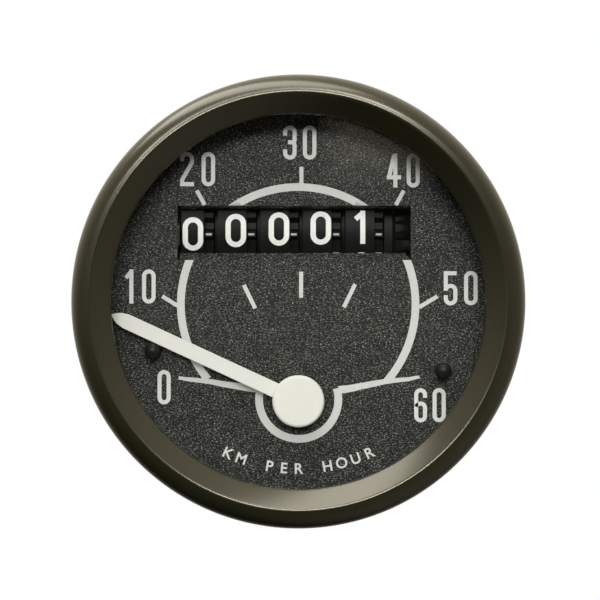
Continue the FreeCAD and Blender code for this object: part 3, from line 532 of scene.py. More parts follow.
def surface_group() -> Tree:
    """Cloudy colour, uneven roughness and fine bumps, all from one piece's own coordinates."""
    graph = new_group(
        "surface",
        ("Colour", "Second"),
        ("Cloud Scale", "Grain Scale", "Stretch X", "Stretch Y", "Stretch Z", "Roughness", "Swing"),
    )
    given, out = graph.ends()
    stretch = graph.node("ShaderNodeCombineXYZ")
    for axis in "XYZ":
        graph.wire(given[f"Stretch {axis}"], stretch.inputs[axis])
    place = graph.vectors("MULTIPLY", graph.own_place(), stretch.outputs[0]).outputs[0]
    cloud = graph.noise(place, given["Cloud Scale"], Detail=3.0)
    grain = graph.noise(place, given["Grain Scale"], Detail=2.0)
    cloudy, grainy = graph.maths("MULTIPLY", cloud, 0.6), graph.maths("MULTIPLY", grain, 0.4)
    both = graph.maths("ADD", cloudy, grainy)
    graph.wire(graph.blend(both, given["Colour"], given["Second"]), out["Colour"])
    swung = graph.maths("MULTIPLY", graph.maths("SUBTRACT", both, 0.5), given["Swing"])
    graph.wire(graph.maths("ADD", given["Roughness"], swung), out["Roughness"])
    graph.wire(grain, out["Height"])
    return graph.tree


def speckle_group() -> Tree:
    """A fine leathery grain: short level ridges, with painted highlight on their tops and painted
    shade in the hollows, and small painted glints.
    """
    graph = new_group("speckle", ("Ground", "Grain", "Spark"), ("Scale", "Sparks"))
    given, out = graph.ends()
    place = graph.vectors("MULTIPLY", graph.own_place(), (0.5, 1.0, 1.0)).outputs[0]
    ridges = graph.noise(place, given["Scale"], Detail=1.5, Roughness=0.6, Distortion=0.6)
    cloud = graph.noise(place, graph.maths("MULTIPLY", given["Scale"], 0.12), Detail=2.0)
    sparks = graph.noise(place, graph.maths("MULTIPLY", given["Scale"], 1.7), Detail=0.0)
    uneven = graph.maths("MULTIPLY", graph.maths("SUBTRACT", cloud, 0.5), 0.10)
    # Ridge tops take the paler colour: painted highlight over the real grain, painted shade in the
    # hollows.
    share = graph.remap(graph.maths("ADD", ridges, uneven), 0.50, 0.62)
    ground = graph.blend(share, given["Ground"], given["Grain"])
    # Painted glints: small bright spots in the colour, a little glossier than the rest.
    shine = graph.maths("MULTIPLY", graph.remap(sparks, given["Sparks"], 0.80), share)
    graph.wire(graph.blend(shine, ground, given["Spark"]), out["Colour"])
    dulled = graph.maths("MULTIPLY", shine, 0.25)
    graph.wire(graph.maths("SUBTRACT", 0.62, dulled), out["Roughness"])
    graph.wire(ridges, out["Height"])
    return graph.tree


SURFACE = surface_group()
SPECKLE = speckle_group()


def blank(name: str) -> tuple[Material, Node]:
    """Start a material; returns it and its shader."""
    material = bpy.data.materials.new(name)
    material.use_nodes = True
    return material, material.node_tree.nodes["Principled BSDF"]


def dress(
    name: str, effect: Tree, values: dict[str, object], strength: float, relief: float
) -> tuple[Material, Node]:
    """Start a material with a node group's colour, roughness and bumps.

    Args:
        name: the material's name.
        effect: the node group.
        values: the group's inputs.
        strength: how strong the bumps are.
        relief: how deep they are, in millimetres.

    Returns:
        The material and its shader.
    """
    material, shader = blank(name)
    graph = Graph(material.node_tree)
    group = graph.node("ShaderNodeGroup", node_tree=effect)
    for key, value in values.items():
        graph.feed(value, group.inputs[key])
    bump = graph.node("ShaderNodeBump", Strength=strength, Distance=relief * MM)
    graph.wire(group.outputs["Colour"], shader.inputs["Base Color"])
    graph.wire(group.outputs["Roughness"], shader.inputs["Roughness"])
    graph.wire(group.outputs["Height"], bump.inputs["Height"])
    graph.wire(bump.outputs[0], shader.inputs["Normal"])
    return material, shader


@dataclass(frozen=True)
class Finish:
    """An even finish: base colour and its shift, gloss, metal, grain and a little relief."""

    name: str
    colour: Colour
    second: Colour
    roughness: float
    metallic: float = 0.0
    swing: float = 0.12
    cloud: float = 180.0
    grain: float = 4000.0
    relief: float = 0.004
    stretch: Place = (1.0, 1.0, 1.0)
    level: float = 0.5
    tint: Colour = (1.0, 1.0, 1.0)

    def make(self) -> Material:
        """Build the material."""
        values = {
            "Colour": self.colour,
            "Second": self.second,
            "Cloud Scale": self.cloud,
            "Grain Scale": self.grain,
            "Roughness": self.roughness,
            "Swing": self.swing,
        }
        values |= {f"Stretch {axis}": share for axis, share in zip("XYZ", self.stretch)}
        material, shader = dress(self.name, SURFACE, values, strength=0.35, relief=self.relief)
        shader.inputs["Metallic"].default_value = self.metallic
        shader.inputs["Specular IOR Level"].default_value = self.level
        shader.inputs["Specular Tint"].default_value = (*self.tint, 1.0)
        return material


@dataclass(frozen=True)
class GrainedFinish:
    """The dial's dark grain, with painted highlights on its ridges and fine painted glints."""

    name: str
    ground: Colour
    grain: Colour
    spark: Colour
    scale: float
    sparks: float
    relief: float = 0.012

    def make(self) -> Material:
        """Build the material."""
        values = {
            "Ground": self.ground,
            "Grain": self.grain,
            "Spark": self.spark,
            "Scale": self.scale,
            "Sparks": self.sparks,
        }
        material, shader = dress(self.name, SPECKLE, values, strength=0.5, relief=self.relief)
        shader.inputs["Specular IOR Level"].default_value = 0.25
        return material


@dataclass(frozen=True)
class ClearFinish:
    """Clean instrument glass, with faint haze; it lets light through to the dial."""

    name: str
    haze: float = 0.015

    def make(self) -> Material:
        """Build the material."""
        material, shader = blank(self.name)
        tree = material.node_tree
        graph = Graph(tree)
        shader.inputs["Base Color"].default_value = (0.985, 0.99, 0.985, 1.0)
        shader.inputs["Transmission Weight"].default_value = 1.0
        shader.inputs["IOR"].default_value = 1.48
        smear = graph.noise(graph.own_place(), 60.0, Detail=2.0)
        graph.wire(graph.maths("MULTIPLY", smear, self.haze), shader.inputs["Roughness"])
        through = graph.node("ShaderNodeBsdfTransparent")
        graph.pick("Is Shadow Ray", shader, through, tree.nodes["Material Output"])
        return material


AnyFinish = Finish | GrainedFinish | ClearFinish

BEZEL_PAINT = Finish(
    "bezel satin enamel", (0.014, 0.0138, 0.0066), (0.010, 0.010, 0.005), 0.25, swing=0.05,
    relief=0.003, level=0.75, tint=(1.0, 0.94, 0.78),
)
CASE_ZINC = Finish(
    "case zinc plate", (0.60, 0.60, 0.58), (0.40, 0.41, 0.40), 0.30, 1.0, swing=0.2, cloud=140,
    grain=2600, stretch=(1.0, 0.12, 1.0),
)
ZINC = Finish("hardware zinc plate", (0.60, 0.58, 0.50), (0.44, 0.42, 0.36), 0.33, 1.0, cloud=300)
STEEL = Finish(
    "ground steel", (0.62, 0.62, 0.62), (0.48, 0.48, 0.48), 0.25, 1.0, stretch=(0.2, 1.0, 1.0),
)
BRASS = Finish(
    "turned brass", (0.72, 0.50, 0.18), (0.55, 0.36, 0.12), 0.30, 1.0, stretch=(1.0, 0.1, 1.0),
)
BRONZE = Finish("spring bronze", (0.62, 0.38, 0.14), (0.46, 0.26, 0.10), 0.32, 1.0)
CASTING = Finish(
    "die-cast frame", (0.40, 0.40, 0.39), (0.30, 0.30, 0.30), 0.52, 0.9, grain=1500, relief=0.02,
)
MAGNET = Finish(
    "sintered magnet", (0.07, 0.07, 0.075), (0.04, 0.04, 0.045), 0.55, 0.6, grain=2500, relief=0.01,
)
ALUMINIUM = Finish(
    "spun aluminium", (0.78, 0.78, 0.78), (0.62, 0.62, 0.62), 0.30, 1.0, stretch=(1.0, 0.2, 1.0),
)
RUBBER = Finish("seal rubber", (0.014, 0.014, 0.014), (0.022, 0.022, 0.021), 0.75, relief=0.01)
PIN_BLACK = Finish(
    "pin gloss black", (0.007, 0.007, 0.006), (0.010, 0.010, 0.009), 0.34, swing=0.04, relief=0.001,
    level=0.2,
)
DRUM_BLACK = Finish(
    "drum gloss black", (0.006, 0.007, 0.0055), (0.009, 0.010, 0.008), 0.42, swing=0.10,
    relief=0.002, level=0.08,
)
WHEEL_DARK = Finish(
    "drive wheel black", (0.005, 0.006, 0.005), (0.008, 0.009, 0.007), 0.45, level=0.07,
)
COLLAR_DARK = Finish(
    "collar grey green", (0.016, 0.019, 0.014), (0.012, 0.014, 0.010), 0.5, level=0.1,
)
# Pale tooth tips: painted highlights where light catches the drums' gear teeth.
TIP_HIGHLIGHT = Finish("tooth tips painted highlight", (0.50, 0.50, 0.46), (0.34, 0.34, 0.31), 0.5, grain=5000)
FIBRE = Finish(
    "fibre washer", (0.030, 0.014, 0.010), (0.020, 0.010, 0.008), 0.7, grain=2500, relief=0.01,
)
GEAR_CREAM = Finish("moulded gear", (0.52, 0.48, 0.36), (0.44, 0.40, 0.30), 0.5)
NEEDLE_CREAM = Finish(
    "needle cream enamel", (0.66, 0.665, 0.62), (0.63, 0.635, 0.59), 0.6, swing=0.05, relief=0.0006,
    level=0.1,
)
PRINT_WHITE = Finish(
    "dial print", (0.64, 0.66, 0.63), (0.56, 0.58, 0.55), 0.6, grain=6000, relief=0.004,
)
PRINT_WORN = Finish(
    "scale print", (0.62, 0.63, 0.61), (0.47, 0.48, 0.46), 0.62, cloud=2500, grain=7000,
    relief=0.006,
)
DRUM_WHITE = Finish(
    "drum print", (0.84, 0.85, 0.81), (0.73, 0.74, 0.70), 0.5, grain=5000, relief=0.002,
)
# Black ground; the paler ridge colour and the bright glint colour are painted highlights on the
# grain.
DIAL_GRAIN = GrainedFinish(
    "dial grained black", (0.0016, 0.0022, 0.0014), (0.033, 0.036, 0.029), (0.46, 0.47, 0.41),
    7800.0, 0.50, 0.03,
)
GLASS = ClearFinish("instrument glass")
FLOOR = Finish("pale floor", (0.86, 0.86, 0.85), (0.84, 0.84, 0.83), 0.8)

DRUM_BODIES = ("units", "tens", "hundreds", "thousands", "ten_thousands")
CARRIED: tuple[tuple[AnyFinish, str], ...] = (
    (GLASS, "glass"),
    (RUBBER, "glass_gasket spacer_ring"),
    (DIAL_GRAIN, "dial"),
    (BRASS, "spindle_bush staff_bush bridge_pillars hairspring_collet needle_hub"),
    (ZINC, "frame_screws front_bridge odometer_plate_left odometer_plate_right plate_screws"),
    (ZINC, "shaft_clips field_cup"),
    (BRONZE, "hairspring"),
    (CASTING, "movement_frame"),
    (STEEL, "odometer_shaft pinion_shaft drive_spindle pointer_staff cross_shaft riser_shaft"),
    (MAGNET, "ring_magnet"),
    (ALUMINIUM, "drag_cup"),
    (GEAR_CREAM, "cross_wheel riser_wheel"),
    (GEAR_CREAM, " ".join(f"transfer_pinion_{count}" for count in range(1, 5))),
    (WHEEL_DARK, "drive_wheel"),
    (COLLAR_DARK, "drive_collar"),
    (FIBRE, "friction_washer"),
    (DRUM_BLACK, " ".join(f"{body}_drum" for body in DRUM_BODIES)),
)
NODE_FINISHES = {node: finish for finish, nodes in CARRIED for node in nodes.split()}


class Paintshop:
    """Builds each finish once and puts it on pieces."""

    def __init__(self) -> None:
        self.made: dict[str, Material] = {}

    def coat(self, obj: Piece, finish: AnyFinish) -> None:
        """Give the object this finish alone."""
        if finish.name not in self.made:
            self.made[finish.name] = finish.make()
        obj.data.materials.clear()
        obj.data.materials.append(self.made[finish.name])


@dataclass
class SubAssembly:
    """Pieces that share a body: builds them, dresses them and hands them over."""

    shop: Paintshop

    def hand_over(
        self,
        obj: Piece,
        finish: AnyFinish,
        body: str,
        slot: str,
        replaces: Sequence[str] = (),
    ) -> None:
        """Paint a finished piece, fix it to its body and log it.

        Args:
            obj: the finished piece.
            finish: its finish.
            body: the body it rides on.
            slot: the record's material slot; not used.
            replaces: the CAD nodes it stands for.
        """
        self.shop.coat(obj, finish)
        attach(obj, body)
        if replaces:
            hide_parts(*replaces)
        LOG.info("%s: %d faces on %s", obj.name, len(obj.data.polygons), body)


@dataclass
class Case(SubAssembly):
    """Bezel, can, threaded nipple and studs."""

    radius: float = 24.0
    depth: float = 24.0
    wall: float = 0.6
    root: float = 24.5
    flange: float = 25.3
    flange_front: float = -1.3
    rear_round: float = 1.0
    rear_hole: float = 4.23
    sheet: float = 0.5
    bezel_radius: float = 26.0
    seal: float = -5.9
    crest: float = -7.9
    crest_radius: float = 23.56
    opening: float = 21.43
    spindle_z: float = -11.6
    nipple_front: float = 21.8
    nipple_end: float = 33.0
    nipple_radius: float = 5.0
    nipple_pitch: float = 0.9
    nipple_flange: float = 6.5
    nipple_bore: float = 2.6
    bush_bore: float = 3.28
    stud_radius: float = 2.0
    stud_length: float = 12.0
    stud_pitch: float = 0.7
    stud_x: float = 9.0
    stud_z: float = 6.0
    crisp: float = 28.0
    crisp_thread: float = 40.0

    def bezel(self) -> None:
        """The pressed bezel, with fine arcs at its seat, crest and hem."""
        lip, inside = self.root + 0.05, self.bezel_radius - self.sheet
        rim, hem, seal, top, r = (
            self.bezel_radius, self.opening, self.seal, self.crest, self.crest_radius
        )
        outer = [(lip, 0.0), (rim - 0.4, 0.0)]
        outer += arc(outer[-1], (rim - 0.12, -0.12), (rim, -0.4), 6)
        outer += [(rim, top + 2.2)]
        outer += arc(outer[-1], (rim - 0.65, top + 0.75), (r + 0.39, top + 0.03), 22)
        outer += arc(outer[-1], (r + 0.06, top), (r - 0.21, top + 0.15), 8)
        outer += [(hem + 0.17, seal - 0.45)]
        outer += arc(outer[-1], (hem + 0.04, seal - 0.25), (hem, seal), 6)
        inner = [(hem + 0.75, seal), (r - 0.2, top + 0.75)]
        inner += arc(inner[-1], (r + 0.2, top + 0.55), (r + 0.6, top + 0.6), 5)
        inner += arc(inner[-1], (inside - 0.45, top + 1.15), (inside, top + 2.3), 10)
        inner += [(inside, -self.sheet), (lip, -self.sheet)]
        piece = Turned(outer + inner, segments=256).make("bezel_ring", self.crisp)
        self.hand_over(piece, BEZEL_PAINT, "housing", "bezel_paint", ["bezel"])

    def can(self) -> None:
        """The drawn can: rounded rear edge, rolled flange and the nipple's hole in its back."""
        inner, back = self.radius - self.wall, self.depth - self.wall
        corner = ROUND_MIDDLE * self.rear_round
        outline = [(self.rear_hole, self.depth), (self.radius - self.rear_round, self.depth)]
        outline += arc(
            outline[-1],
            (self.radius - corner, self.depth - corner),
            (self.radius, self.depth - self.rear_round),
            10,
        )
        outline += [(self.radius, 0.0), (self.root, 0.0), (self.root, -self.sheet)]
        outline += [(self.flange, -self.sheet), (self.flange, self.flange_front)]
        outline += [(inner, self.flange_front), (inner, back), (self.rear_hole, back)]
        piece = Turned(outline).make("can_shell", self.crisp)

        def towards_nipple(place: Vector) -> Vector:
            """Carry the small hole in the back down to the nipple."""
            near = math.hypot(place.x, place.z) < (self.rear_hole + 0.07) * MM
            if place.y > (back - 0.01) * MM and near:
                place.z += self.spindle_z * MM
            return place

        bend_each(piece, towards_nipple)
        self.hand_over(piece, CASE_ZINC, "housing", "case_steel", ["housing_can"])

    def thread(
        self,
        piece: Piece,
        centre: Point,
        rings: Sequence[float],
        radius: float,
        pitch: float,
    ) -> None:
        """Cut a real helical thread into the fine rings of a turned piece.

        Args:
            piece: the turned piece.
            centre: its axis, as x and z.
            rings: where its fine rings lie along Y.
            radius: the thread's outer radius.
            pitch: how far it moves on at each turn.
        """
        low, high, deep, fade_out = rings[0], rings[-1], 0.58 * pitch, 0.6 * pitch

        def cut(place: Vector) -> Vector:
            """Draw a surface point in to the thread's depth at its turn."""
            x, z = place.x / MM - centre[0], place.z / MM - centre[1]
            r, y = math.hypot(x, z), place.y / MM
            if r < radius - 0.02 or not low - 1e-4 <= y <= high + 1e-4:
                return place
            turn = (y / pitch - math.atan2(z, x) / (2 * math.pi)) % 1.0
            wave = min(1.0, max(0.0, abs(turn * 2 - 1) * 1.25 - 0.1))
            fade = max(0.0, min(1.0, (y - low) / fade_out, (high - y) / fade_out))
            share = (radius - deep * wave * fade) / r
            return Vector(((centre[0] + x * share) * MM, place.y, (centre[1] + z * share) * MM))

        bend_each(piece, cut)

    def nipple(self) -> None:
        """The cable nipple: flange, real thread, chamfered mouth and stepped bore."""
        seat, end, radius = self.depth, self.nipple_end, self.nipple_radius
        flange, bore, wide = self.nipple_flange, self.nipple_bore, self.bush_bore
        rings = levels(seat + 1.0, end - 0.35, 88)
        outline = [(wide, self.nipple_front), (4.2, self.nipple_front), (4.2, seat)]
        outline += [(flange - 0.2, seat), (flange, seat + 0.2), (flange, seat + 0.8)]
        outline += [(flange - 0.2, seat + 1.0)] + [(radius, y) for y in rings]
        outline += [(radius - 0.35, end), (bore + 0.15, end), (bore, end - 0.2)]
        outline += [(bore, seat + 2.0), (wide, seat + 2.0)]
        turned = Turned(outline, (0.0, 0.0, self.spindle_z), segments=96)
        piece = turned.make("nipple_threaded", self.crisp_thread)
        self.thread(piece, (0.0, self.spindle_z), rings, radius, self.nipple_pitch)
        self.hand_over(piece, ZINC, "housing", "plated_steel", ["drive_nipple"])

    def studs(self) -> None:
        """Two threaded studs."""
        base, end, radius = self.depth, self.depth + self.stud_length, self.stud_radius
        rings = levels(base + 1.5, end - 0.5, 128)
        outline = [(0.0, base), (radius, base)] + [(radius, y) for y in rings]
        outline += [(radius - 0.5, end), (0.0, end)]
        parts = []
        for side in (-self.stud_x, self.stud_x):
            turned = Turned(outline, (side, 0.0, self.stud_z), segments=48, closed=False)
            part = turned.make("stud", self.crisp_thread)
            self.thread(part, (side, self.stud_z), rings, radius, self.stud_pitch)
            parts.append(part)
        whole = join(parts, "studs_threaded")
        self.hand_over(whole, ZINC, "housing", "plated_steel", ["mounting_studs"])

    def build(self) -> None:
        """Build every piece of the case."""
        self.bezel()
        self.can()
        self.nipple()
        self.studs()


@dataclass
class DialPrint(SubAssembly):
    """Everything printed on the dial, and the two stop pins that stand on it."""

    face: float = -0.9
    ink: float = 0.02
    scale_centre: Point = (-0.024, -0.343)
    scale_inner: float = 13.366
    scale_outer: float = 14.270
    hub_centre: Point = (0.035, -11.522)
    hub_radius: float = 4.662
    hub_width: float = 0.91
    window: tuple[float, float] = (4.90, 11.27)
    window_gap: float = 0.02
    tick_width: float = 0.47
    numeral_height: float = 4.02
    numeral_stroke: float = 0.475
    unit_words: str = "KM PER HOUR"
    unit_radius: float = 19.75
    unit_spacing: float = 5.0
    unit_size: float = 1.75
    pin_places: tuple[Point, ...] = ((-17.005, -5.759), (16.939, -8.084))
    pin_radius: float = 0.91
    pin_top: float = -3.3
    shank_radius: float = 0.6
    shank_end: float = 3.47
    numerals: tuple[tuple[str, float, float, float], ...] = (
        ("0", -15.818, -10.092, 1.548), ("1", -19.78, 1.767, 1.45), ("0", -17.614, 1.767, 1.595),
        ("2", -13.117, 15.593, 1.631), ("0", -10.606, 15.581, 1.595), ("3", -1.004, 18.719, 1.584),
        ("0", 1.324, 18.719, 1.590), ("4", 11.190, 15.434, 1.560), ("0", 13.519, 15.434, 1.536),
        ("5", 17.921, 1.554, 1.600), ("0", 20.308, 1.572, 1.600), ("6", 14.394, -12.231, 1.513),
        ("0", 16.574, -12.208, 1.548),
    )
    ticks: tuple[tuple[float, float, float, float], ...] = (
        (-16.033, 0.617, -14.21, -0.52), (-11.965, 13.069, -11.03, 11.37),
        (0.355, 15.859, 0.355, 13.90), (12.418, 13.054, 11.477, 11.36),
        (16.372, 0.604, 14.23, -0.68), (-6.423, 1.950, -5.087, -0.815),
        (0.319, 3.510, 0.319, 0.437), (6.682, 2.032, 5.348, -0.685),
    )
    zero_line: tuple[Place, ...] = (
        (-14.098, -8.993, 0.355), (-13.035, -9.159, 0.473), (-11.617, -9.300, 0.544),
        (-10.199, -9.466, 0.615), (-8.780, -9.749, 0.685), (-7.362, -9.939, 0.780),
        (-5.944, -10.139, 0.874), (-4.700, -10.290, 0.910),
    )
    full_line: tuple[Place, ...] = (
        (4.760, -10.420, 0.910), (5.873, -10.281, 0.851), (6.582, -10.163, 0.827),
        (7.291, -9.986, 0.756), (8.000, -9.868, 0.733), (8.710, -9.714, 0.709),
        (9.419, -9.584, 0.662), (10.128, -9.442, 0.615), (11.546, -9.277, 0.544),
        (12.964, -9.159, 0.473), (13.673, -8.993, 0.402), (14.264, -8.899, 0.331),
    )

    def strip(
        self, path: Stroke, widths: float | Sequence[float], name: str, share: float = 1.0
    ) -> Piece:
        """One printed strip on the dial's face, with a share of the ink's depth."""
        thick = self.ink * share
        return Strip(path, widths, self.face - thick, thick).make(name)

    def cut(self, obj: Piece, height: float, keep_above: bool) -> Piece:
        """Trim a strip along a level line, as the window's edge does."""
        with editing(obj):
            bpy.ops.mesh.bisect(
                plane_co=(0, 0, height * MM),
                plane_no=(0, 0, 1),
                use_fill=True,
                clear_inner=keep_above,
                clear_outer=not keep_above,
                threshold=1e-8,
            )
        return obj

    def scale(self) -> None:
        """The scale's arc, cut by the window, with its ticks and the two long end lines."""
        cx, cz = self.scale_centre
        middle = (self.scale_inner + self.scale_outer) / 2
        width = self.scale_outer - self.scale_inner
        low, high = self.window
        upper = circle(cx, cz, middle, 50, 130, 60)
        left = circle(cx, cz, middle, 152, 219.6, 60)
        right = circle(cx, cz, middle, -40.9, 28, 60)
        parts = [
            self.cut(self.strip(upper, width, "arc_top"), high + self.window_gap, True),
            self.cut(self.strip(left, width, "arc_left"), low - self.window_gap, False),
            self.cut(self.strip(right, width, "arc_right"), low - self.window_gap, False),
        ]
        for x0, z0, x1, z1 in self.ticks:
            parts.append(self.strip([(x0, z0), (x1, z1)], self.tick_width, "tick", 0.9))
        for line in (self.zero_line, self.full_line):
            path = [(x, z) for x, z, _ in line]
            parts.append(self.strip(path, [w for _, _, w in line], "end_line", 0.8))
        hx, hz = self.hub_centre
        hub = circle(hx, hz, self.hub_radius, 164.0, 376.0, 96)
        parts.append(self.strip(hub, self.hub_width, "hub_ring", 0.95))
        self.hand_over(join(parts, "scale_print"), PRINT_WORN, "housing", "dial_paint")

    def numbers(self) -> None:
        """The numerals 0 to 60."""
        parts = []
        for digit, x, z, width in self.numerals:
            shape = Numeral(width, self.numeral_height, self.numeral_stroke)
            piece = shape.make(digit, self.face - self.ink, self.ink)
            piece.location = (x * MM, 0, z * MM)
            only(piece)
            bpy.ops.object.transform_apply(location=True, rotation=False, scale=False)
            parts.append(piece)
        self.hand_over(join(parts, "dial_numerals"), PRINT_WHITE, "housing", "dial_paint")

    def unit(self) -> None:
        """Small curved lettering at the foot of the dial: the scale's unit."""
        radius, middle = self.unit_radius, (len(self.unit_words) - 1) / 2
        parts = []
        for place, letter in enumerate(self.unit_words):
            if letter == " ":
                continue
            turn = math.radians((place - middle) * self.unit_spacing)
            fresh()
            seat = Vector((radius * math.sin(turn), self.face - self.ink, -radius * math.cos(turn)))
            bpy.ops.object.text_add(location=seat * MM, rotation=(math.pi / 2, -turn, 0))
            text = bpy.context.object
            text.data.body = letter
            text.data.align_x = "CENTER"
            text.data.align_y = "CENTER"
            text.data.size = self.unit_size * MM
            text.data.offset = 0.03 * MM
            text.data.extrude = 0.0
            text.data.resolution_u = 6
            bpy.ops.object.convert(target="MESH")
            piece = bpy.context.object
            wall = piece.modifiers.new("slab", "SOLIDIFY")
            wall.thickness, wall.offset = self.ink * MM, -1.0
            bpy.ops.object.modifier_apply(modifier="slab")
            parts.append(settle(piece, "letter", 20))
        self.hand_over(join(parts, "unit_lettering"), PRINT_WHITE, "housing", "dial_paint")

    def pins(self) -> None:
        """Domed black stop pins with their shanks."""
        parts = []
        shank, end, wide, top = self.shank_radius, self.shank_end, self.pin_radius, self.pin_top
        outline = [(0.0, end), (shank, end), (shank, self.face), (wide, self.face)]
        outline += [(wide, top + 0.4)]
        outline += arc((wide, top + 0.4), (0.5, top + 0.11), (0.0, top), 8)
        for x, z in self.pin_places:
            parts.append(Turned(outline, (x, 0.0, z), segments=48, closed=False).make("pin", 50))
        whole = join(parts, "stop_pins_domed")
        self.hand_over(whole, PIN_BLACK, "housing", "pin_black", ["stop_pins"])

    def build(self) -> None:
        """Build every printed mark and both pins."""
        self.scale()
        self.numbers()
        self.unit()
        self.pins()


@dataclass
class Pointer(SubAssembly):
    """The needle and its cap."""

    pivot_z: float = -11.6
    rest: float = 24.8
    front: float = -2.7
    thickness: float = 0.35
    cap_radius: float = 3.02
    cap_height: float = 0.8
    root_bore: float = 0.42
    root_radius: float = 2.3
    edge: float = 0.06
    outline: tuple[tuple[float, float], ...] = (
        (0.0, 1.74), (6.0, 1.74), (12.0, 1.74), (18.0, 1.74), (22.1, 1.74), (22.75, 1.50),
        (23.13, 1.28), (23.36, 1.0), (23.6, 0.70), (23.83, 0.34), (23.98, 0.10),
    )

    def needle(self) -> None:
        """The flat needle with softened edges, and the round root under its cap."""
        path = [(-along, 0.0) for along, _ in self.outline]
        blade = Strip(path, [w for _, w in self.outline], self.front, self.thickness).make("blade")
        only(blade)
        soft = blade.modifiers.new("soft", "BEVEL")
        soft.width, soft.segments, soft.limit_method = self.edge * MM, 2, "ANGLE"
        bpy.ops.object.modifier_apply(modifier="soft")
        tilt = math.radians(self.rest)

        def swing(place: Vector) -> Vector:
            """Turn the blade to its rest angle and carry it to the pivot."""
            x = place.x * math.cos(tilt) + place.z * math.sin(tilt)
            z = -place.x * math.sin(tilt) + place.z * math.cos(tilt)
            return Vector((x, place.y, z + self.pivot_z * MM))

        bend_each(blade, swing)
        front, back = self.front, self.front + self.thickness
        bore, wide = self.root_bore, self.root_radius
        outline = [(bore, front), (wide, front), (wide, back), (bore, back)]
        root = Turned(outline, (0, 0, self.pivot_z), segments=64)
        piece = join([blade, root.make("root")], "needle_blade")
        self.hand_over(piece, NEEDLE_CREAM, "pointer", "needle_paint", ["needle"])

    def cap(self) -> None:
        """The round cap, with a rounded rim and a very slightly crowned top."""
        top, r = self.front - self.cap_height, self.cap_radius
        outline = [(0.0, self.front), (r, self.front), (r, top + 0.34)]
        outline += arc((r, top + 0.34), (r - 0.11, top + 0.1), (r - 0.36, top + 0.01), 8)
        outline += [(r * 0.55, top + 0.002), (0.0, top)]
        turned = Turned(outline, (0, 0, self.pivot_z), segments=128, closed=False)
        piece = turned.make("pointer_cap", 40)
        self.hand_over(piece, NEEDLE_CREAM, "pointer", "needle_paint", ["needle_cap"])

    def build(self) -> None:
        """Build the needle and its cap."""
        self.needle()
        self.cap()


FIGURES = 10
TEETH = 20


@dataclass(frozen=True)
class DrumPlace:
    """Where one number drum's rim and figures lie, and how far it has turned."""

    body: str
    rim: Point
    figure_x: float
    reading: int
    lead: float
    # The teeth whose tips carry a painted highlight.
    bare: tuple[int, ...] = tuple(range(0, TEETH, 2))


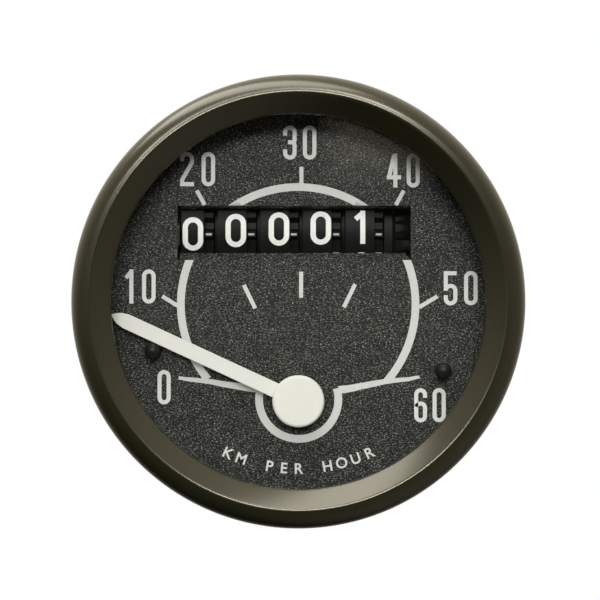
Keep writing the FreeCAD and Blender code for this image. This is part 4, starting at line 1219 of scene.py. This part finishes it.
@dataclass
class Odometer(SubAssembly):
    """Number sleeves round the five drums, with ten figures on each."""

    axis_y: float = 8.3
    axis_z: float = 8.5
    radius: float = 8.0
    tooth_radius: float = 7.4
    first_tooth: float = 183.9
    sleeve: float = 0.012
    ink: float = 0.012
    figure_height: float = 3.99
    figure_width: float = 2.44
    figure_stroke: float = 0.62
    one_width: float = 1.9
    one_stroke: float = 0.60
    tip_gap: float = 0.20
    tip_length: float = 0.70
    tip_width: float = 0.24
    drums: tuple[DrumPlace, ...] = (
        DrumPlace("units_wheel", (5.60, 9.02), 7.50, 1, 2.4, (0, 1, 4, 6, 9, 12, 15, 17)),
        DrumPlace("tens_wheel", (0.54, 3.96), 2.66, 0, 1.6, (0, 1, 4, 7, 8, 11, 14, 17)),
        DrumPlace("hundreds_wheel", (-4.52, -1.10), -2.31, 0, 0.8),
        DrumPlace("thousands_wheel", (-9.58, -6.16), -7.43, 0, -0.5),
        DrumPlace("ten_thousands_wheel", (-13.90, -11.22), -12.52, 0, -3.5),
    )

    def sleeves(self, place: DrumPlace) -> None:
        """A smooth gloss sleeve round the rim, with broken edges."""
        low, high = place.rim
        r, skin = self.radius, self.radius + self.sleeve
        outline = [(r - 0.3, low), (r - 0.04, low), (skin, low + 0.06)]
        outline += [(skin, high - 0.06), (r - 0.04, high), (r - 0.3, high)]
        ring = Turned(outline, (0, self.axis_y, self.axis_z), Way.ACROSS, 160)
        self.hand_over(ring.make(place.body + "_sleeve", 40), DRUM_BLACK, place.body, "drum_black")

    def figures(self, place: DrumPlace, models: dict[str, Piece]) -> None:
        """Wrap the ten figures round one drum, rising as the count goes up."""
        parts = []
        for digit in range(FIGURES):
            piece = copy_of(models[str(digit)])
            down = (digit - place.reading) * 360 / FIGURES - place.lead

            def wrap(point: Vector, down: float = down) -> Vector:
                """Bend a flat figure round the drum."""
                radius = (self.radius + self.sleeve) * MM - point.y
                angle = point.z / (self.radius * MM) - math.radians(down)
                return Vector((
                    point.x + place.figure_x * MM,
                    self.axis_y * MM - radius * math.cos(angle),
                    self.axis_z * MM + radius * math.sin(angle),
                ))

            bend_each(piece, wrap)
            parts.append(piece)
        whole = join(parts, place.body + "_figures")
        self.hand_over(whole, DRUM_WHITE, place.body, "drum_black")

    def tooth_tips(self, place: DrumPlace) -> None:
        """Pale dashes on some of the twenty teeth of the gear ring beside one drum: painted
        highlights on the tooth tips.
        """
        low = place.rim[1] + self.tip_gap
        path = [(low, 0.0), (low + self.tip_length, 0.0)]
        tip = Strip(path, self.tip_width, -self.ink, 0.03).make("tip")
        parts = []
        for tooth in place.bare:
            piece = copy_of(tip)
            around = math.radians(self.first_tooth + 360 / TEETH * tooth)

            def seat(point: Vector, around: float = around) -> Vector:
                """Stand a flat tip on its tooth."""
                out, along = self.tooth_radius * MM - point.y, point.z
                return Vector((
                    point.x,
                    self.axis_y * MM + out * math.cos(around) - along * math.sin(around),
                    self.axis_z * MM + out * math.sin(around) + along * math.cos(around),
                ))

            bend_each(piece, seat)
            parts.append(piece)
        bpy.data.objects.remove(tip)
        whole = join(parts, place.body + "_tooth_tips")
        with editing(whole):
            bpy.ops.mesh.normals_make_consistent(inside=False)
        self.hand_over(whole, TIP_HIGHLIGHT, place.body, "drum_black")

    def build(self) -> None:
        """Build the sleeves, figures and tooth tips of all five drums."""
        wide = Numeral(self.figure_width, self.figure_height, self.figure_stroke)
        slim = Numeral(self.one_width, self.figure_height, self.one_stroke)
        models = {}
        for digit in map(str, range(FIGURES)):
            shape = slim if digit == "1" else wide
            models[digit] = shape.make(digit, -self.ink, self.ink + 0.006)
        for place in self.drums:
            self.sleeves(place)
            self.tooth_tips(place)
            self.figures(place, models)
        for model in models.values():
            bpy.data.objects.remove(model)


@dataclass
class Carried(SubAssembly):
    """CAD nodes that keep their shape and get a finish."""

    def build(self) -> None:
        """Paint every node that is still shown."""
        for name, obj in frame["nodes"].items():
            if obj.hide_render:
                continue
            self.shop.coat(obj, NODE_FINISHES[name])
            LOG.info("%s keeps its shape", name)


ROOM_TINT = (1.0, 0.945, 0.80, 1.0)
# Each row leans one way: its direction, then the range of leaning and the range of brightness.
# The first three add up, and the last one dims what lies behind the camera.
ROOM_LEVELS = (
    ((-0.05, 0.25, 0.97), (-0.55, 0.95, 0.01, 0.70)),
    ((0.0, 0.8, 0.6), (-0.22, 0.9, 0.0, 0.65)),
    ((0.68, -0.36, -0.64), (0.55, 1.0, 0.0, 0.30)),
    ((0.0, 1.0, 0.0), (-0.95, -0.82, 0.1, 1.0)),
)


@dataclass(frozen=True)
class Lamp:
    """A rectangular soft light aimed at the middle of the face, in millimetres and watts."""

    name: str
    place: Place
    size: Point
    watts: float
    tint: Colour = (1.0, 0.99, 0.97)
    roll: float = 0.0
    only_on: tuple[str, ...] = ()

    def light(self) -> None:
        """Put the lamp in the scene. With `only_on`, it lights those pieces alone."""
        bpy.ops.object.light_add(type="AREA", location=Vector(self.place) * MM)
        lamp = bpy.context.object
        lamp.name = self.name
        lamp.data.shape = "RECTANGLE"
        lamp.data.size, lamp.data.size_y = self.size[0] * MM, self.size[1] * MM
        lamp.data.energy = self.watts
        lamp.data.color = self.tint
        lamp.visible_camera = False
        aim = Vector((0, -4 * MM, 0)) - lamp.location
        lamp.rotation_euler = aim.to_track_quat("-Z", "Y").to_euler()
        lamp.rotation_euler.rotate_axis("Z", math.radians(self.roll))
        if self.only_on:
            lit = bpy.data.collections.new("lit by " + self.name)
            lamp.light_linking.receiver_collection = lit
            for piece in bpy.data.objects:
                if piece.name.endswith(self.only_on):
                    lit.objects.link(piece)


FACE_ENDS = (
    "dial", "scale_print", "dial_numerals", "unit_lettering", "stop_pins_domed", "needle_blade",
    "pointer_cap", "_sleeve", "_figures", "_tooth_tips", "_wheel", "_collar", "_drum",
)
GLIMMER_TINT = (1.0, 0.88, 0.72)
GLIMMER_WATTS = 0.22e-6  # for each square millimetre


@dataclass
class Studio:
    """Camera, soft light and a pale floor."""

    shop: Paintshop
    camera_place: Place = (0.19, -156.0, 0.17)
    lens: float = 78.75
    floor_z: float = -100.0
    floor_radius: float = 110.0

    def camera(self) -> None:
        """A level camera straight in front of the dial."""
        place = Vector(self.camera_place) * MM
        bpy.ops.object.camera_add(location=place, rotation=(math.pi / 2, 0, 0))
        camera = bpy.context.object
        camera.data.lens = self.lens
        camera.data.sensor_width = 36.0
        camera.data.clip_start = 0.005
        camera.data.clip_end = 20.0
        bpy.context.scene.camera = camera

    def floor(self) -> None:
        """A round pale floor below the object."""
        fresh()
        bpy.ops.mesh.primitive_circle_add(
            vertices=96,
            radius=self.floor_radius * MM,
            fill_type="NGON",
            location=(0, 0, self.floor_z * MM),
        )
        disc = bpy.context.object
        with editing(disc):
            bpy.ops.mesh.inset(thickness=8 * MM)
        bpy.ops.object.transform_apply(location=True, rotation=True, scale=True)
        disc.name = "floor"
        disc.visible_glossy = False
        disc.visible_diffuse = False
        self.shop.coat(disc, FLOOR)

    def surroundings(self) -> None:
        """White to the camera, and a dim even room to everything else."""
        world = bpy.data.worlds.new("room")
        world.use_nodes = True
        bpy.context.scene.world = world
        graph = Graph(world.node_tree)
        nodes = world.node_tree.nodes
        dim = nodes["Background"]
        dim.inputs["Color"].default_value = ROOM_TINT
        way = graph.node("ShaderNodeTexCoord").outputs["Generated"]
        levels = []
        for lean, spans in ROOM_LEVELS:
            towards = graph.vectors("DOT_PRODUCT", way, lean).outputs["Value"]
            levels.append(graph.remap(towards, *spans))
        room = graph.maths("ADD", graph.maths("ADD", levels[0], levels[1]), levels[2])
        graph.wire(graph.maths("MULTIPLY", room, levels[3]), dim.inputs["Strength"])
        white = graph.node("ShaderNodeBackground", Strength=1.0)
        white.inputs["Color"].default_value = (1.0, 1.0, 1.0, 1.0)
        graph.pick("Is Camera Ray", dim, white, nodes["World Output"])

    def lamps(self) -> list[Lamp]:
        """Every lamp. The glimmers lie one behind another, so the glass shows a soft patch."""
        lamps = [
            Lamp("key light", (-28.0, -330.0, 165.0), (290.0, 60.0), 1.4, roll=14.0,
                 only_on=("bezel_ring", "can_shell")),
            Lamp("top light", (-82.0, -90.0, 280.0), (400.0, 150.0), 1.05),
        ]
        for step in range(5):
            wide, high = 58.0 - 6 * step, 44.0 - 6 * step
            place, watts = (38.0, -456.0 + step, 74.0), GLIMMER_WATTS * wide * high
            lamps.append(Lamp("window glimmer", place, (wide, high), watts, GLIMMER_TINT))
        lamps.append(
            Lamp("face light", (0.0, -420.0, 140.0), (260.0, 90.0), 1.6, (1.0, 0.99, 0.98),
                 only_on=FACE_ENDS)
        )
        return lamps

    def build(self) -> None:
        """Set up everything round the object."""
        bpy.context.scene.view_settings.view_transform = "Standard"
        self.camera()
        for lamp in self.lamps():
            lamp.light()
        self.floor()
        self.surroundings()


def main() -> None:
    """Build the speedometer's looks in order and report each piece."""
    logging.basicConfig(level=logging.INFO, format="%(name)s %(message)s")
    shop = Paintshop()
    Case(shop).build()
    DialPrint(shop).build()
    Pointer(shop).build()
    Odometer(shop).build()
    Carried(shop).build()
    Studio(shop).build()


if __name__ == "__main__":
    main()
